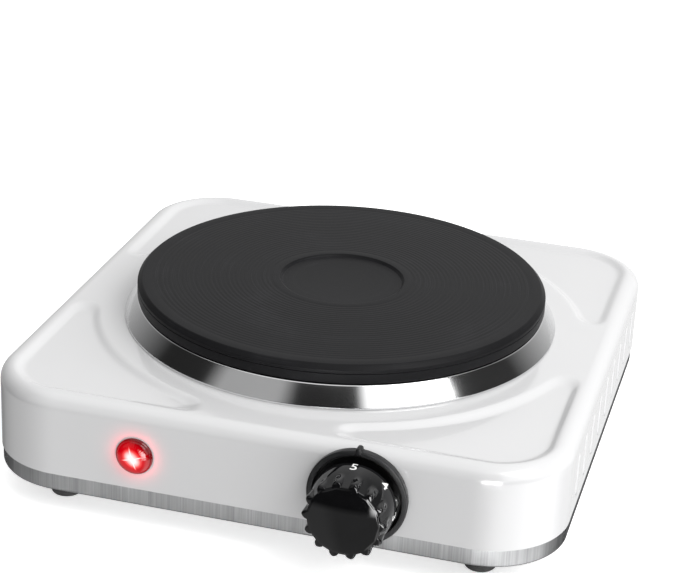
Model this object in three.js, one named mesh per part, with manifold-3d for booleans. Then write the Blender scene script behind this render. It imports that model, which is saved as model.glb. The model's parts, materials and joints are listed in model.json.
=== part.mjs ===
// Single hot plate burner: an enamelled steel housing on a steel base pan with rubber feet, a cast iron
// plate seated on a polished trim ring, a thermostat with a control knob, and a pilot lamp.
// Millimetres, +Z up. The feet stand on z = 0, the knob faces -Y and the mains gland faces +Y.

import * as THREE from "three";
import { mergeVertices } from "three/addons/utils/BufferGeometryUtils.js";
import Module from "manifold-3d";

// ---- driving dimensions -------------------------------------------------------------------------

// Clearances
const SEAT_GAP = 0.3; // between two pieces that rest on, or are fixed to, each other
const HOLE_GAP = 0.4; // round a fixed piece in its hole, on the radius
const RUNNING_GAP = 0.12; // round the turning spindle in its bush, on the radius
const PAST = 1; // a cutting solid runs this far past the faces that it cuts

// Housing
const BODY_SIDE = 248; // width and depth over the walls
const SHELL_HEIGHT = 36; // lower edge to top face
const SHELL_WALL = 1;
const CORNER_RADIUS = 35;
const TOP_FILLET = 5.5;

// Pressed panels in the four corners of the top face
const PANEL_MARGIN = 8.5; // housing side to panel
const PANEL_TIP = 31; // centre line to the panel's end
const PANEL_CORNER_RADIUS = 24;
const PANEL_DEPTH = 1.6;
const PANEL_ARC_GAP = 13.5; // trim ring to the panel's curved side

// Louvres in the left and right walls
const VENT_COUNT = 9;
const VENT_PITCH = 19;
const VENT_HEIGHT = 20;
const VENT_WIDTH = 2.4;
const VENT_ABOVE_EDGE = 15.5; // lower edge of the housing to the middle of a louvre
const HOOD_OUT = 1.2;
const HOOD_WIDTH = 3.3;

// Base pan and feet
const PAN_STRIP = 8.2; // pan wall that shows under the housing
const PAN_INSET = 0.6; // pan wall inside the housing's outer face
const PAN_LAP = 6; // pan wall that stands up inside the housing, set in by a step
const PAN_WALL = 1;
const PAN_SLOT_COUNT = 5;
const PAN_SLOT_PITCH = 12;
const PAN_SLOT_LENGTH = 46;
const PAN_SLOT_WIDTH = 3.4;
const PAN_SLOT_FROM_CENTRE = 62;
const FOOT_HEIGHT = 11;
const FOOT_TOP_RADIUS = 8.5;
const FOOT_SOLE_RADIUS = 6.5;
const FOOT_FROM_SIDE = 33; // left or right side of the housing to the foot's axis
const FOOT_FROM_FRONT = 21; // front or rear side of the housing to the foot's axis
const FOOT_RECESS_DEPTH = 5;
const FOOT_EDGE = 1;
const SCREW_RADIUS = 1.9;
const SCREW_HEAD_RADIUS = 3.4;
const SCREW_CROWN_RADIUS = 2.4;
const SCREW_HEAD_HEIGHT = 2.2;
const PILLAR_RADIUS = 4.5;
const PILLAR_THREAD_DEPTH = 14;
const SCREW_END_GAP = 2; // end of a foot's screw to the end of its blind hole

// Trim ring and cast iron plate
const PLATE_RADIUS = 92;
const PLATE_EDGE = 8.1; // height of the plate's bare edge above the trim ring
const PLATE_CHAMFER = 1.5;
const PLATE_THICKNESS = 7;
const RING_RISE = 9; // housing top to the ledge that carries the plate
const RING_OVERHANG = 5.5; // trim ring beyond the plate, at its foot
const RING_SHEET = 0.8;
const SPIGOT_STEP = 7.5; // plate radius less the radius of its lower part
const SPIGOT_DEPTH = 2.6; // lower end of the plate below the housing's top face
const RECESS_RADIUS = 27; // shallow dish in the middle of the plate
const RECESS_DEPTH = 1.2;
const RIB_WIDTH = 4;
const OUTER_RIB_WIDTH = 5.5;
const OUTER_CHANNEL_WIDTH = 19;
const INNER_CHANNEL_WIDTH = 22;
const PLATE_BOSS_RADIUS = 12;
const COIL_RADIUS = 3;
const COIL_ABOVE_END = 4.3; // plate's lower end to the middle of the heating coils
const MICA_SHEET = 0.8;
const COVER_SHEET = 1;

// Clamp under the plate
const STUD_RADIUS = 3.2;
const STUD_SOCKET = 1; // stud's socket in the plate, above the channels
const BRIDGE_WIDTH = 20;
const BRIDGE_SHEET = 2;
const BRIDGE_FOOT = 8; // length of each end that bears on the housing
const BRIDGE_SLOPE = 4; // run of the cranked part
const NUT_RADIUS = 5.8;
const NUT_HEIGHT = 5;
const SHIELD_DROP = 27; // housing top to the heat shield
const SHIELD_RADIUS = 76;
const SHIELD_SHEET = 0.6;
const SHIELD_RIM = 4;
const STUD_PAST_NUT = 1.5;

// Terminals of the plate
const TERMINAL_SPREAD = 24; // between the two studs
const TERMINAL_RADIUS = 1.8;
const TERMINAL_HEAD_RADIUS = 3.5;
const TERMINAL_HEAD_HEIGHT = 3;
const TERMINAL_TAIL = 6.6;
const CERAMIC_LENGTH = 40;
const CERAMIC_WIDTH = 12;
const CERAMIC_HEIGHT = 7;

// Control knob and bezel
const KNOB_X = 43.5;
const KNOB_ABOVE_EDGE = 16.2; // lower edge of the housing to the knob's axis
const KNOB_DEPTH = 25; // housing wall to the knob's face
const SKIRT_RADIUS = 17.4;
const SKIRT_BACK = 6.8; // housing wall to the back of the knob
const SKIRT_BAND = 2.2;
const DOME_SHARE = 0.75; // length of the domed side, as a share of what lies in front of the skirt's band
const DOME_STEPS = 3;
const KNOB_EDGE = 1;
const GRIP_RADIUS = 15.2;
const GRIP_COUNT = 14;
const GRIP_RIB_RADIUS = 1.7;
const GRIP_RIB_OUT = 0.1; // rib axis beyond the grip's edge
const GRIP_RIB_LENGTH = 9;
const GRIP_RIB_SETBACK = 0.4; // knob's face to the end of a rib
const KNOB_WALL = 2.2;
const KNOB_HOLLOW_DEPTH = 11;
const KNOB_BOSS_RADIUS = 6;
const BEZEL_RADIUS = 21;
const BEZEL_HEIGHT = 3.8;
const BEZEL_LIP = 2.4;
const BEZEL_FLOOR = 1.8;
const BEZEL_EDGE = 1;
const POINTER_WIDTH = 2.8;
const POINTER_OUT = 1.7; // pointer's tip beyond the bezel's edge

// Thermostat
const SPINDLE_RADIUS = 3;
const SPINDLE_OUT = 17; // housing wall to the spindle's outer end
const SPINDLE_IN = 12.7; // housing wall to its inner end
const SPINDLE_FLAT = 1.6; // axis to the flat
const SPINDLE_FLAT_PAST = 1; // flat beyond the back of the knob
const CLIP_SHEET = 0.5;
const CLIP_LENGTH = 8;
const CLIP_WIDTH = 3.2;
const CLIP_SETBACK = 1; // spindle's outer end to the clip
const PIN_RADIUS = 1.7;
const PIN_OUT = 4.3; // end of the spindle to the pin's tip
const PIN_IN_SPINDLE = 4.7;
const PIN_TRAVEL = 1.25;
const BUSH_RADIUS = 5.2;
const FRAME_SHEET = 1.2;
const FRAME_HEIGHT = 19;
const FRAME_RIGHT = 18; // axis to the frame's right end
const MOUNT_SCREW_SPREAD = 27;
const MOUNT_SCREW_LENGTH = 6.4;
const STACK_FROM_AXIS = 12; // axis to the ceramic stack
const STACK_WIDTH = 10;
const STACK_HEIGHT = 14;
const STACK_FROM_FRAME = 4.5;
const STACK_LENGTH = 18;
const LEAF_SHEET = 0.5;
const LEAF_WIDTH = 7;
const LEAF_PAST_AXIS = 10;
const CONTACT_RADIUS = 2;
const CONTACT_HEIGHT = 0.8;
const CONTACT_PAST_AXIS = 6.5;
const BIMETAL_SHEET = 0.7;
const TAB_SHEET = 0.8;
const TAB_HEIGHT = 10;
const TAB_LENGTH = 7.6;
const TAB_SPREAD = 5.5;

// Pilot lamp
const LAMP_X = -52;
const LAMP_ABOVE_EDGE = 15.5;
const LENS_RADIUS = 8;
const LENS_OUT = 3.6;
const LAMP_TUBE_RADIUS = 6;
const LAMP_TUBE_LENGTH = 22;
const LENS_STEM = 4; // lens stem inside the wall
const LENS_FLANGE = 1.2;
const LENS_STEPS = 3;
const CLIP_RING_RADIUS = 8.6;
const CLIP_RING_HEIGHT = 1.6;

// Mains gland, terminal block and leads
const GLAND_X = -60;
const GLAND_ABOVE_EDGE = 18;
const GLAND_BORE_RADIUS = 4.3;
const GLAND_NECK_RADIUS = 6.8;
const GLAND_FLANGE_RADIUS = 9.5;
const GLAND_OUT = 3;
const GLAND_IN = 12;
const GLAND_NUT_RADIUS = 10.5;
const GLAND_NUT_HEIGHT = 4;
const GLAND_EDGE = 1;
const BLOCK_LENGTH = 30;
const BLOCK_WIDTH = 16;
const BLOCK_HEIGHT = 12;
const BLOCK_ROOF = 2; // block above its screw's blind hole
const BLOCK_FROM_WALL = 10;
const BLOCK_POLE_PITCH = 8;
const BLOCK_POLE_HEIGHT = 7;
const LEAD_RADIUS = 1.3;
const LEAD_LIFT = 2; // leads on the pan floor stand this clear of it
const LEAD_GAP = 0.7; // end of a lead to what it is joined to
const EARTH_SCREW_FROM_BLOCK = 24;
const EARTH_SCREW_LENGTH = 7;
const EARTH_TAG_AT = 4; // screw's seat to its tag
const EARTH_TAG_HEIGHT = 2;

// Facets
const ROUND_LARGE = 36;
const ROUND_MEDIUM = 24;
const ROUND_SMALL = 12;
const ROUND_FINE = 16;
const HEX_SIDES = 6;
const TORUS_SIDES = 6;
const CORNER_STEPS = 4;
const PANEL_STEPS = 3;
const RIB_SIDES = 6;
const FILLET_STEPS = 3;
const LEAD_SIDES = 8;

// ---- places worked out from the dimensions ------------------------------------------------------

const HALF = BODY_SIDE / 2;
const PAN_FLOOR = FOOT_HEIGHT + PAN_WALL;
const EDGE_Z = FOOT_HEIGHT + PAN_STRIP; // lower edge of the housing
const TOP_Z = EDGE_Z + SHELL_HEIGHT;
const INNER_TOP_Z = TOP_Z - SHELL_WALL;
const SPIGOT_RADIUS = PLATE_RADIUS - SPIGOT_STEP;
const SHELL_HOLE_RADIUS = SPIGOT_RADIUS + 2;
const RING_RADIUS = PLATE_RADIUS + RING_OVERHANG;
const LEDGE_Z = RING_RISE;
const PLATE_UNDER_Z = LEDGE_Z + SEAT_GAP;
const PLATE_TOP_Z = PLATE_UNDER_Z + PLATE_EDGE;
const CHANNEL_TOP_Z = PLATE_TOP_Z - PLATE_THICKNESS;
const STUD_SOCKET_Z = CHANNEL_TOP_Z + STUD_SOCKET;
const OUTER_CHANNEL = [SPIGOT_RADIUS - OUTER_RIB_WIDTH - OUTER_CHANNEL_WIDTH, SPIGOT_RADIUS - OUTER_RIB_WIDTH];
const INNER_CHANNEL_END = OUTER_CHANNEL[0] - RIB_WIDTH;
const INNER_CHANNEL = [INNER_CHANNEL_END - INNER_CHANNEL_WIDTH, INNER_CHANNEL_END];
const MICA_TOP_Z = -SPIGOT_DEPTH - SEAT_GAP;
const COVER_TOP_Z = MICA_TOP_Z - MICA_SHEET - SEAT_GAP;
const COVER_BOTTOM_Z = COVER_TOP_Z - COVER_SHEET;
const BRIDGE_TOP_Z = COVER_BOTTOM_Z - SEAT_GAP;
const BRIDGE_NUT_TOP_Z = BRIDGE_TOP_Z - BRIDGE_SHEET - SEAT_GAP;
const SHIELD_NUT_TOP_Z = -SHIELD_DROP - SEAT_GAP;
const STUD_BOTTOM_Z = SHIELD_NUT_TOP_Z - NUT_HEIGHT - STUD_PAST_NUT;
const TERMINAL_RING = (INNER_CHANNEL[0] + INNER_CHANNEL[1]) / 2;
const TERMINAL_Y = Math.sqrt(TERMINAL_RING ** 2 - (TERMINAL_SPREAD / 2) ** 2);
const CERAMIC_TOP_Z = COVER_BOTTOM_Z - SEAT_GAP;
const TERMINAL_HEAD_TOP_Z = CERAMIC_TOP_Z - CERAMIC_HEIGHT - SEAT_GAP;
const TERMINAL_END_Z = TERMINAL_HEAD_TOP_Z - TERMINAL_TAIL;
const KNOB_Z = EDGE_Z + KNOB_ABOVE_EDGE;
const LAMP_Z = EDGE_Z + LAMP_ABOVE_EDGE;
const GLAND_Z = EDGE_Z + GLAND_ABOVE_EDGE;
const FOOT_X = HALF - FOOT_FROM_SIDE;
const FOOT_Y = HALF - FOOT_FROM_FRONT;
const FRAME_Y = SHELL_WALL + SEAT_GAP; // thermostat places are measured from the wall's outer face
const LEAF_Y = SPINDLE_IN + PIN_OUT + SEAT_GAP;
const CONTACT_Y = LEAF_Y + LEAF_SHEET;
const BIMETAL_CONTACT_Y = CONTACT_Y + CONTACT_HEIGHT + SEAT_GAP;
const STACK_Y = FRAME_Y + FRAME_SHEET + STACK_FROM_FRAME - SEAT_GAP;
const TAB_Y = STACK_Y + STACK_LENGTH + SEAT_GAP;
const TAB_IN_X = -STACK_FROM_AXIS - STACK_WIDTH / 2 - TAB_SPREAD / 2;
const TAB_OUT_X = TAB_IN_X + TAB_SPREAD;
const BLOCK_Y = HALF - BLOCK_FROM_WALL - BLOCK_WIDTH / 2;
const FRAME_SHIFT_Y = (KNOB_DEPTH - GLAND_OUT) / 2; // centres the whole object on the origin

// ---- making solids ------------------------------------------------------------------------------

const wasm = await Module();
wasm.setup();

// A closed geometry as a manifold-3d solid.
function solid(geometry) {
  const bare = new THREE.BufferGeometry().setAttribute("position", geometry.getAttribute("position"));
  const merged = mergeVertices(geometry.index ? bare.setIndex(geometry.index) : bare, 1e-4);
  return new wasm.Manifold(
    new wasm.Mesh({
      numProp: 3,
      vertProperties: merged.getAttribute("position").array,
      triVerts: new Uint32Array(merged.index.array),
    }),
  );
}

// A manifold-3d solid as a geometry.
function geometryOf(made) {
  const mesh = made.getMesh();
  const geometry = new THREE.BufferGeometry();
  geometry.setAttribute("position", new THREE.BufferAttribute(new Float32Array(mesh.vertProperties), 3));
  geometry.setIndex(new THREE.BufferAttribute(mesh.triVerts, 1));
  geometry.computeVertexNormals();
  return geometry;
}

const cut = (base, ...tools) => geometryOf(tools.reduce((left, tool) => left.subtract(solid(tool)), solid(base)));
const join = (base, ...others) => geometryOf(others.reduce((left, other) => left.add(solid(other)), solid(base)));

// Signed area of a closed outline, positive when it runs anticlockwise.
function signedArea(points) {
  return points.reduce((sum, [x, y], i) => {
    const [nextX, nextY] = points[(i + 1) % points.length];
    return sum + (x * nextY - nextX * y) / 2;
  }, 0);
}

// A profile of [radius, height] points turned about Y. A profile off the axis closes on itself.
function turnedY(profile, segments) {
  const points = signedArea(profile) > 0 ? [...profile] : [...profile].reverse();
  const onAxis = profile[0][0] === 0 && profile[profile.length - 1][0] === 0;
  if (!onAxis) points.push(points[0]);
  return new THREE.LatheGeometry(points.map(([r, h]) => new THREE.Vector2(r, h)), segments);
}

// The same, turned about Z.
const turnedZ = (profile, segments) => turnedY(profile, segments).rotateX(Math.PI / 2);

const rodZ = (radius, bottom, top, segments) =>
  turnedZ([[0, bottom], [radius, bottom], [radius, top], [0, top]], segments);
const rodY = (radius, front, back, segments) =>
  turnedY([[0, front], [radius, front], [radius, back], [0, back]], segments);

function box(x0, x1, y0, y1, z0, z1) {
  const geometry = new THREE.BoxGeometry(x1 - x0, y1 - y0, z1 - z0);
  return geometry.translate((x0 + x1) / 2, (y0 + y1) / 2, (z0 + z1) / 2);
}

// An outline in XY raised from z0 to z1.
function raised(shape, z0, z1, steps = CORNER_STEPS) {
  const options = { depth: z1 - z0, bevelEnabled: false, curveSegments: steps };
  return new THREE.ExtrudeGeometry(shape, options).translate(0, 0, z0);
}

function roundedSquare(half, radius) {
  const shape = new THREE.Shape();
  const flat = half - radius;
  shape.absarc(flat, flat, radius, 0, Math.PI / 2);
  shape.absarc(-flat, flat, radius, Math.PI / 2, Math.PI);
  shape.absarc(-flat, -flat, radius, Math.PI, 1.5 * Math.PI);
  shape.absarc(flat, -flat, radius, 1.5 * Math.PI, 2 * Math.PI);
  return shape;
}

// A rounded square block from bottom to top, with its top edge rounded by fillet.
function filletedBlock(half, radius, fillet, bottom, top) {
  const options = {
    depth: top - bottom,
    bevelSize: fillet,
    bevelThickness: fillet,
    bevelSegments: FILLET_STEPS,
    curveSegments: CORNER_STEPS,
  };
  const block = new THREE.ExtrudeGeometry(roundedSquare(half - fillet, radius - fillet), options);
  block.translate(0, 0, bottom - fillet);
  const reach = half + PAST;
  const below = box(-reach, reach, -reach, reach, bottom - 3 * fillet, bottom);
  return cut(block, below);
}

// A straight bar with six equal sides, from bottom to top.
const hexagon = (radius, bottom, top) => rodZ(radius, bottom, top, HEX_SIDES);

const turnedTo = (geometry, corner) => geometry.clone().rotateZ((corner * Math.PI) / 2);
const moved = (geometry, x, y, z) => geometry.clone().translate(x, y, z);

// ---- finishes -----------------------------------------------------------------------------------

const finish = (color, roughness, metalness) => new THREE.MeshStandardMaterial({ color, roughness, metalness });
const FINISHES = {
  enamel: finish(0xe8e8e8, 0.25, 0),
  panSteel: finish(0x8f9193, 0.45, 0.9),
  polished: finish(0xd8d8da, 0.12, 1),
  castIron: finish(0x1d1d1f, 0.6, 0.4),
  bakelite: finish(0x141415, 0.3, 0),
  rubber: finish(0x161616, 0.85, 0),
  lens: finish(0xd01010, 0.1, 0),
  zinc: finish(0xb4b6b8, 0.4, 0.9),
  brass: finish(0xb8923f, 0.35, 0.9),
  ceramic: finish(0xe4ded0, 0.6, 0),
  mica: finish(0xb9a98a, 0.5, 0),
  coil: finish(0x6b6460, 0.5, 0.8),
  aluminised: finish(0xa6a8ab, 0.35, 0.9),
  nylon: finish(0x202021, 0.5, 0),
  sleeve: finish(0xd9d4c4, 0.8, 0),
  earthSleeve: finish(0x7f9c34, 0.7, 0),
};

const hotPlate = new THREE.Group();

function piece(name, geometry, material, group = hotPlate) {
  const mesh = new THREE.Mesh(geometry, FINISHES[material]);
  mesh.name = name;
  group.add(mesh);
  return mesh;
}

function groupAt(x, y, z) {
  const group = new THREE.Group();
  group.position.set(x, y, z);
  hotPlate.add(group);
  return group;
}

// ---- housing ------------------------------------------------------------------------------------

// Turn of a panel's round end before its curved side starts.
const TIP_SWEEP = 0.9 * Math.PI;

// Outline of one pressed corner panel, in the +X +Y corner, grown outwards by margin.
function panelShape(margin) {
  const side = HALF - PANEL_MARGIN + margin;
  const tip = PANEL_TIP - margin;
  const arc = RING_RADIUS + PANEL_ARC_GAP - margin;
  const arcEnd = Math.sqrt(arc ** 2 - tip ** 2);
  const radius = PANEL_CORNER_RADIUS + margin;
  const tipRadius = (side - arcEnd) / 2;
  const tipAngle = Math.atan2(arcEnd, tip + tipRadius);
  const shape = new THREE.Shape();
  shape.moveTo(side, tip + tipRadius);
  shape.absarc(side - radius, side - radius, radius, 0, Math.PI / 2);
  shape.absarc(tip + tipRadius, side - tipRadius, tipRadius, Math.PI / 2, Math.PI / 2 + TIP_SWEEP);
  shape.absarc(0, 0, arc, tipAngle, Math.PI / 2 - tipAngle, true);
  shape.absarc(side - tipRadius, tip + tipRadius, tipRadius, -TIP_SWEEP, 0);
  return shape;
}

function housingShell() {
  const sink = (margin, depth) => raised(panelShape(margin), TOP_Z - depth, TOP_Z + PAST, PANEL_STEPS);
  const corners = [0, 1, 2, 3];
  const outside = filletedBlock(HALF, CORNER_RADIUS, TOP_FILLET, EDGE_Z, TOP_Z);
  const inside = filletedBlock(
    HALF - SHELL_WALL,
    CORNER_RADIUS - SHELL_WALL,
    TOP_FILLET - SHELL_WALL,
    EDGE_Z - PAST,
    INNER_TOP_Z,
  );
  const cavity = cut(inside, ...corners.map((c) => turnedTo(sink(SHELL_WALL, PANEL_DEPTH + SHELL_WALL), c)));

  const ventZ = EDGE_Z + VENT_ABOVE_EDGE;
  const hoodShape = new THREE.Shape([
    new THREE.Vector2(-SHELL_WALL / 2, -HOOD_WIDTH),
    new THREE.Vector2(HOOD_OUT, 0),
    new THREE.Vector2(-SHELL_WALL / 2, 0),
  ]);
  const hood = raised(hoodShape, -VENT_HEIGHT / 2, VENT_HEIGHT / 2);
  const reach = HALF + HOOD_OUT + PAST;
  const slot = box(HALF - 2 * SHELL_WALL, reach, 0, VENT_WIDTH, -VENT_HEIGHT / 2, VENT_HEIGHT / 2);
  const hoods = [];
  const slots = [];
  for (let i = 0; i < VENT_COUNT; i++) {
    const y = (i - (VENT_COUNT - 1) / 2) * VENT_PITCH;
    hoods.push(moved(hood, HALF, y, ventZ));
    hoods.push(moved(hood.clone().rotateZ(Math.PI), -HALF, y, ventZ));
    slots.push(moved(slot, 0, y, ventZ));
    slots.push(moved(slot.clone().rotateZ(Math.PI), 0, y, ventZ));
  }

  const wallHole = (x, z, radius, side) =>
    moved(rodY(radius, -2 * SHELL_WALL, 2 * SHELL_WALL, ROUND_SMALL), x, side * HALF, z);
  const screwHoles = [-1, 1].map((side) =>
    wallHole(KNOB_X + (side * MOUNT_SCREW_SPREAD) / 2, KNOB_Z, SCREW_RADIUS + HOLE_GAP, -1),
  );
  const body = join(outside, ...hoods);
  return cut(
    body,
    cavity,
    ...corners.map((c) => turnedTo(sink(0, PANEL_DEPTH), c)),
    ...slots,
    rodZ(SHELL_HOLE_RADIUS, INNER_TOP_Z - PAST, TOP_Z + PAST, ROUND_LARGE),
    wallHole(KNOB_X, KNOB_Z, SPINDLE_RADIUS + 2 * HOLE_GAP, -1),
    ...screwHoles,
    wallHole(LAMP_X, LAMP_Z, LAMP_TUBE_RADIUS + HOLE_GAP, -1),
    wallHole(GLAND_X, GLAND_Z, GLAND_NECK_RADIUS + HOLE_GAP, 1),
  );
}

function basePan() {
  const lapInset = SHELL_WALL + SEAT_GAP;
  const stepZ = EDGE_Z - SEAT_GAP; // the housing stands on the step between the wall and its lap
  const lapTop = EDGE_Z + PAN_LAP;
  const block = (inset, bottom, top) => raised(roundedSquare(HALF - inset, CORNER_RADIUS - inset), bottom, top);
  const tray = join(block(PAN_INSET, FOOT_HEIGHT, stepZ), block(lapInset, stepZ - PAN_WALL / 2, lapTop));
  const hollow = block(PAN_INSET + PAN_WALL, PAN_FLOOR, stepZ - PAN_WALL);
  const lapHollow = block(lapInset + PAN_WALL, PAN_FLOOR + PAN_WALL, lapTop + PAST);
  const slots = [];
  for (let i = 0; i < PAN_SLOT_COUNT; i++) {
    const x = (i - (PAN_SLOT_COUNT - 1) / 2) * PAN_SLOT_PITCH;
    for (const side of [-1, 1]) {
      const y = side * PAN_SLOT_FROM_CENTRE;
      const [wide, long] = [PAN_SLOT_WIDTH / 2, PAN_SLOT_LENGTH / 2];
      slots.push(box(x - wide, x + wide, y - long, y + long, FOOT_HEIGHT - PAST, PAN_FLOOR + PAST));
    }
  }
  const hole = rodZ(SCREW_RADIUS + HOLE_GAP, FOOT_HEIGHT - PAST, PAN_FLOOR + PAST, ROUND_SMALL);
  const holes = FOOT_PLACES.map(([, x, y]) => moved(hole, x, y, 0));
  const [blockHole, earthHole] = [GLAND_X, GLAND_X + EARTH_SCREW_FROM_BLOCK].map((x) => moved(hole, x, BLOCK_Y, 0));
  return cut(tray, hollow, lapHollow, ...slots, ...holes, blockHole, earthHole);
}

// ---- feet and what fixes them -------------------------------------------------------------------

const FOOT_PLACES = [
  ["front_left", -FOOT_X, -FOOT_Y],
  ["front_right", FOOT_X, -FOOT_Y],
  ["rear_left", -FOOT_X, FOOT_Y],
  ["rear_right", FOOT_X, FOOT_Y],
];

function foot() {
  const bore = SCREW_RADIUS + HOLE_GAP;
  const recess = SCREW_HEAD_RADIUS + HOLE_GAP;
  const top = FOOT_HEIGHT - SEAT_GAP;
  const profile = [
    [recess, 0],
    [FOOT_SOLE_RADIUS - FOOT_EDGE, 0],
    [FOOT_SOLE_RADIUS, FOOT_EDGE],
    [FOOT_TOP_RADIUS, top],
    [bore, top],
    [bore, FOOT_RECESS_DEPTH],
    [recess, FOOT_RECESS_DEPTH],
  ];
  return turnedZ(profile, ROUND_FINE);
}

// A pan-head screw along Z with its head at the bottom, seated at z = 0.
function screw(length) {
  const profile = [
    [0, -SCREW_HEAD_HEIGHT],
    [SCREW_CROWN_RADIUS, -SCREW_HEAD_HEIGHT],
    [SCREW_HEAD_RADIUS, -SCREW_HEAD_HEIGHT / 2],
    [SCREW_HEAD_RADIUS, 0],
    [SCREW_RADIUS, 0],
    [SCREW_RADIUS, length],
    [0, length],
  ];
  return turnedZ(profile, ROUND_SMALL);
}

function pillar(bottom, top) {
  const bore = SCREW_RADIUS + HOLE_GAP;
  const depth = bottom + PILLAR_THREAD_DEPTH;
  const profile = [
    [0, depth],
    [bore, depth],
    [bore, bottom],
    [PILLAR_RADIUS, bottom],
    [PILLAR_RADIUS, top],
    [0, top],
  ];
  return turnedZ(profile, ROUND_SMALL);
}

function feet() {
  const pillarBottom = PAN_FLOOR + SEAT_GAP;
  const pillarTop = TOP_Z - PANEL_DEPTH - SHELL_WALL - SEAT_GAP;
  const seat = FOOT_RECESS_DEPTH - SEAT_GAP;
  const threadEnd = pillarBottom + PILLAR_THREAD_DEPTH - SCREW_END_GAP;
  for (const [corner, x, y] of FOOT_PLACES) {
    const group = groupAt(x, y, 0);
    piece(`foot_${corner}`, foot(), "rubber", group);
    piece(`foot_screw_${corner}`, screw(threadEnd - seat), "zinc", group).position.z = seat;
    piece(`pillar_${corner}`, pillar(pillarBottom, pillarTop), "zinc", group);
  }
}

// ---- cooking plate ------------------------------------------------------------------------------

function trimRing() {
  const inner = SPIGOT_RADIUS + HOLE_GAP;
  const shoulder = PLATE_RADIUS;
  const profile = [
    [RING_RADIUS, SEAT_GAP],
    [RING_RADIUS, SEAT_GAP + RING_SHEET],
    [shoulder, LEDGE_Z],
    [inner, LEDGE_Z],
    [inner, LEDGE_Z - RING_SHEET],
    [shoulder - RING_SHEET, LEDGE_Z - RING_SHEET],
    [RING_RADIUS - 2 * RING_SHEET, SEAT_GAP],
  ];
  return turnedZ(profile, ROUND_LARGE);
}

function castPlate() {
  const end = -SPIGOT_DEPTH;
  const rib = INNER_CHANNEL[0] - RIB_WIDTH;
  const bore = STUD_RADIUS + SEAT_GAP;
  const profile = [
    [0, PLATE_TOP_Z - RECESS_DEPTH],
    [RECESS_RADIUS, PLATE_TOP_Z - RECESS_DEPTH],
    [RECESS_RADIUS + RECESS_DEPTH, PLATE_TOP_Z],
    [PLATE_RADIUS - PLATE_CHAMFER, PLATE_TOP_Z],
    [PLATE_RADIUS, PLATE_TOP_Z - PLATE_CHAMFER],
    [PLATE_RADIUS, PLATE_UNDER_Z],
    [SPIGOT_RADIUS, PLATE_UNDER_Z],
    [SPIGOT_RADIUS, end],
    [OUTER_CHANNEL[1], end],
    [OUTER_CHANNEL[1], CHANNEL_TOP_Z],
    [OUTER_CHANNEL[0], CHANNEL_TOP_Z],
    [OUTER_CHANNEL[0], end],
    [INNER_CHANNEL[1], end],
    [INNER_CHANNEL[1], CHANNEL_TOP_Z],
    [INNER_CHANNEL[0], CHANNEL_TOP_Z],
    [INNER_CHANNEL[0], end],
    [rib, end],
    [rib, CHANNEL_TOP_Z],
    [PLATE_BOSS_RADIUS, CHANNEL_TOP_Z],
    [PLATE_BOSS_RADIUS, end],
    [bore, end],
    [bore, STUD_SOCKET_Z],
    [0, STUD_SOCKET_Z],
  ];
  return turnedZ(profile, ROUND_LARGE);
}

// Refractory filling of one channel, with a groove from below for its heating coil.
function insulation([inner, outer]) {
  const middle = (inner + outer) / 2;
  const groove = COIL_RADIUS + SEAT_GAP;
  const bottom = -SPIGOT_DEPTH + SEAT_GAP;
  const grooveTop = -SPIGOT_DEPTH + COIL_ABOVE_END + groove;
  const profile = [
    [inner + SEAT_GAP, bottom],
    [middle - groove, bottom],
    [middle - groove, grooveTop],
    [middle + groove, grooveTop],
    [middle + groove, bottom],
    [outer - SEAT_GAP, bottom],
    [outer - SEAT_GAP, CHANNEL_TOP_Z - SEAT_GAP],
    [inner + SEAT_GAP, CHANNEL_TOP_Z - SEAT_GAP],
  ];
  return turnedZ(profile, ROUND_LARGE);
}

// Heating coil as the ring that its windings fill.
function coil([inner, outer]) {
  const ring = new THREE.TorusGeometry((inner + outer) / 2, COIL_RADIUS, TORUS_SIDES, ROUND_LARGE);
  return ring.translate(0, 0, -SPIGOT_DEPTH + COIL_ABOVE_END);
}

const terminalHoles = (radius, bottom, top) =>
  [-1, 1].map((side) =>
    moved(rodZ(radius, bottom, top, ROUND_SMALL), (side * TERMINAL_SPREAD) / 2, TERMINAL_Y, 0),
  );

function disc(inner, outer, bottom, top) {
  const sheet = turnedZ([[inner, bottom], [outer, bottom], [outer, top], [inner, top]], ROUND_MEDIUM);
  return cut(sheet, ...terminalHoles(TERMINAL_RADIUS + HOLE_GAP, bottom - PAST, top + PAST));
}

function clampBridge() {
  const footTop = -SHELL_WALL - SEAT_GAP;
  const footStart = SHELL_HOLE_RADIUS + BRIDGE_SLOPE;
  const half = [
    [footStart + BRIDGE_FOOT, footTop],
    [footStart, footTop],
    [SHELL_HOLE_RADIUS, BRIDGE_TOP_Z],
  ];
  const under = half.map(([x, z]) => [x, z - BRIDGE_SHEET]).reverse();
  const mirrored = (points) => points.map(([x, z]) => [-x, z]).reverse();
  const outline = [...half, ...mirrored(half), ...mirrored(under), ...under];
  const shape = new THREE.Shape(outline.map(([x, z]) => new THREE.Vector2(x, z)));
  const strap = raised(shape, -BRIDGE_WIDTH / 2, BRIDGE_WIDTH / 2).rotateX(Math.PI / 2);
  const hole = rodZ(STUD_RADIUS + HOLE_GAP, BRIDGE_TOP_Z - 2 * BRIDGE_SHEET, BRIDGE_TOP_Z + PAST, ROUND_SMALL);
  return cut(strap, hole);
}

const nut = (top) => cut(hexagon(NUT_RADIUS, top - NUT_HEIGHT, top), rodZ(
  STUD_RADIUS + SEAT_GAP,
  top - NUT_HEIGHT - PAST,
  top + PAST,
  ROUND_SMALL,
));

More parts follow.
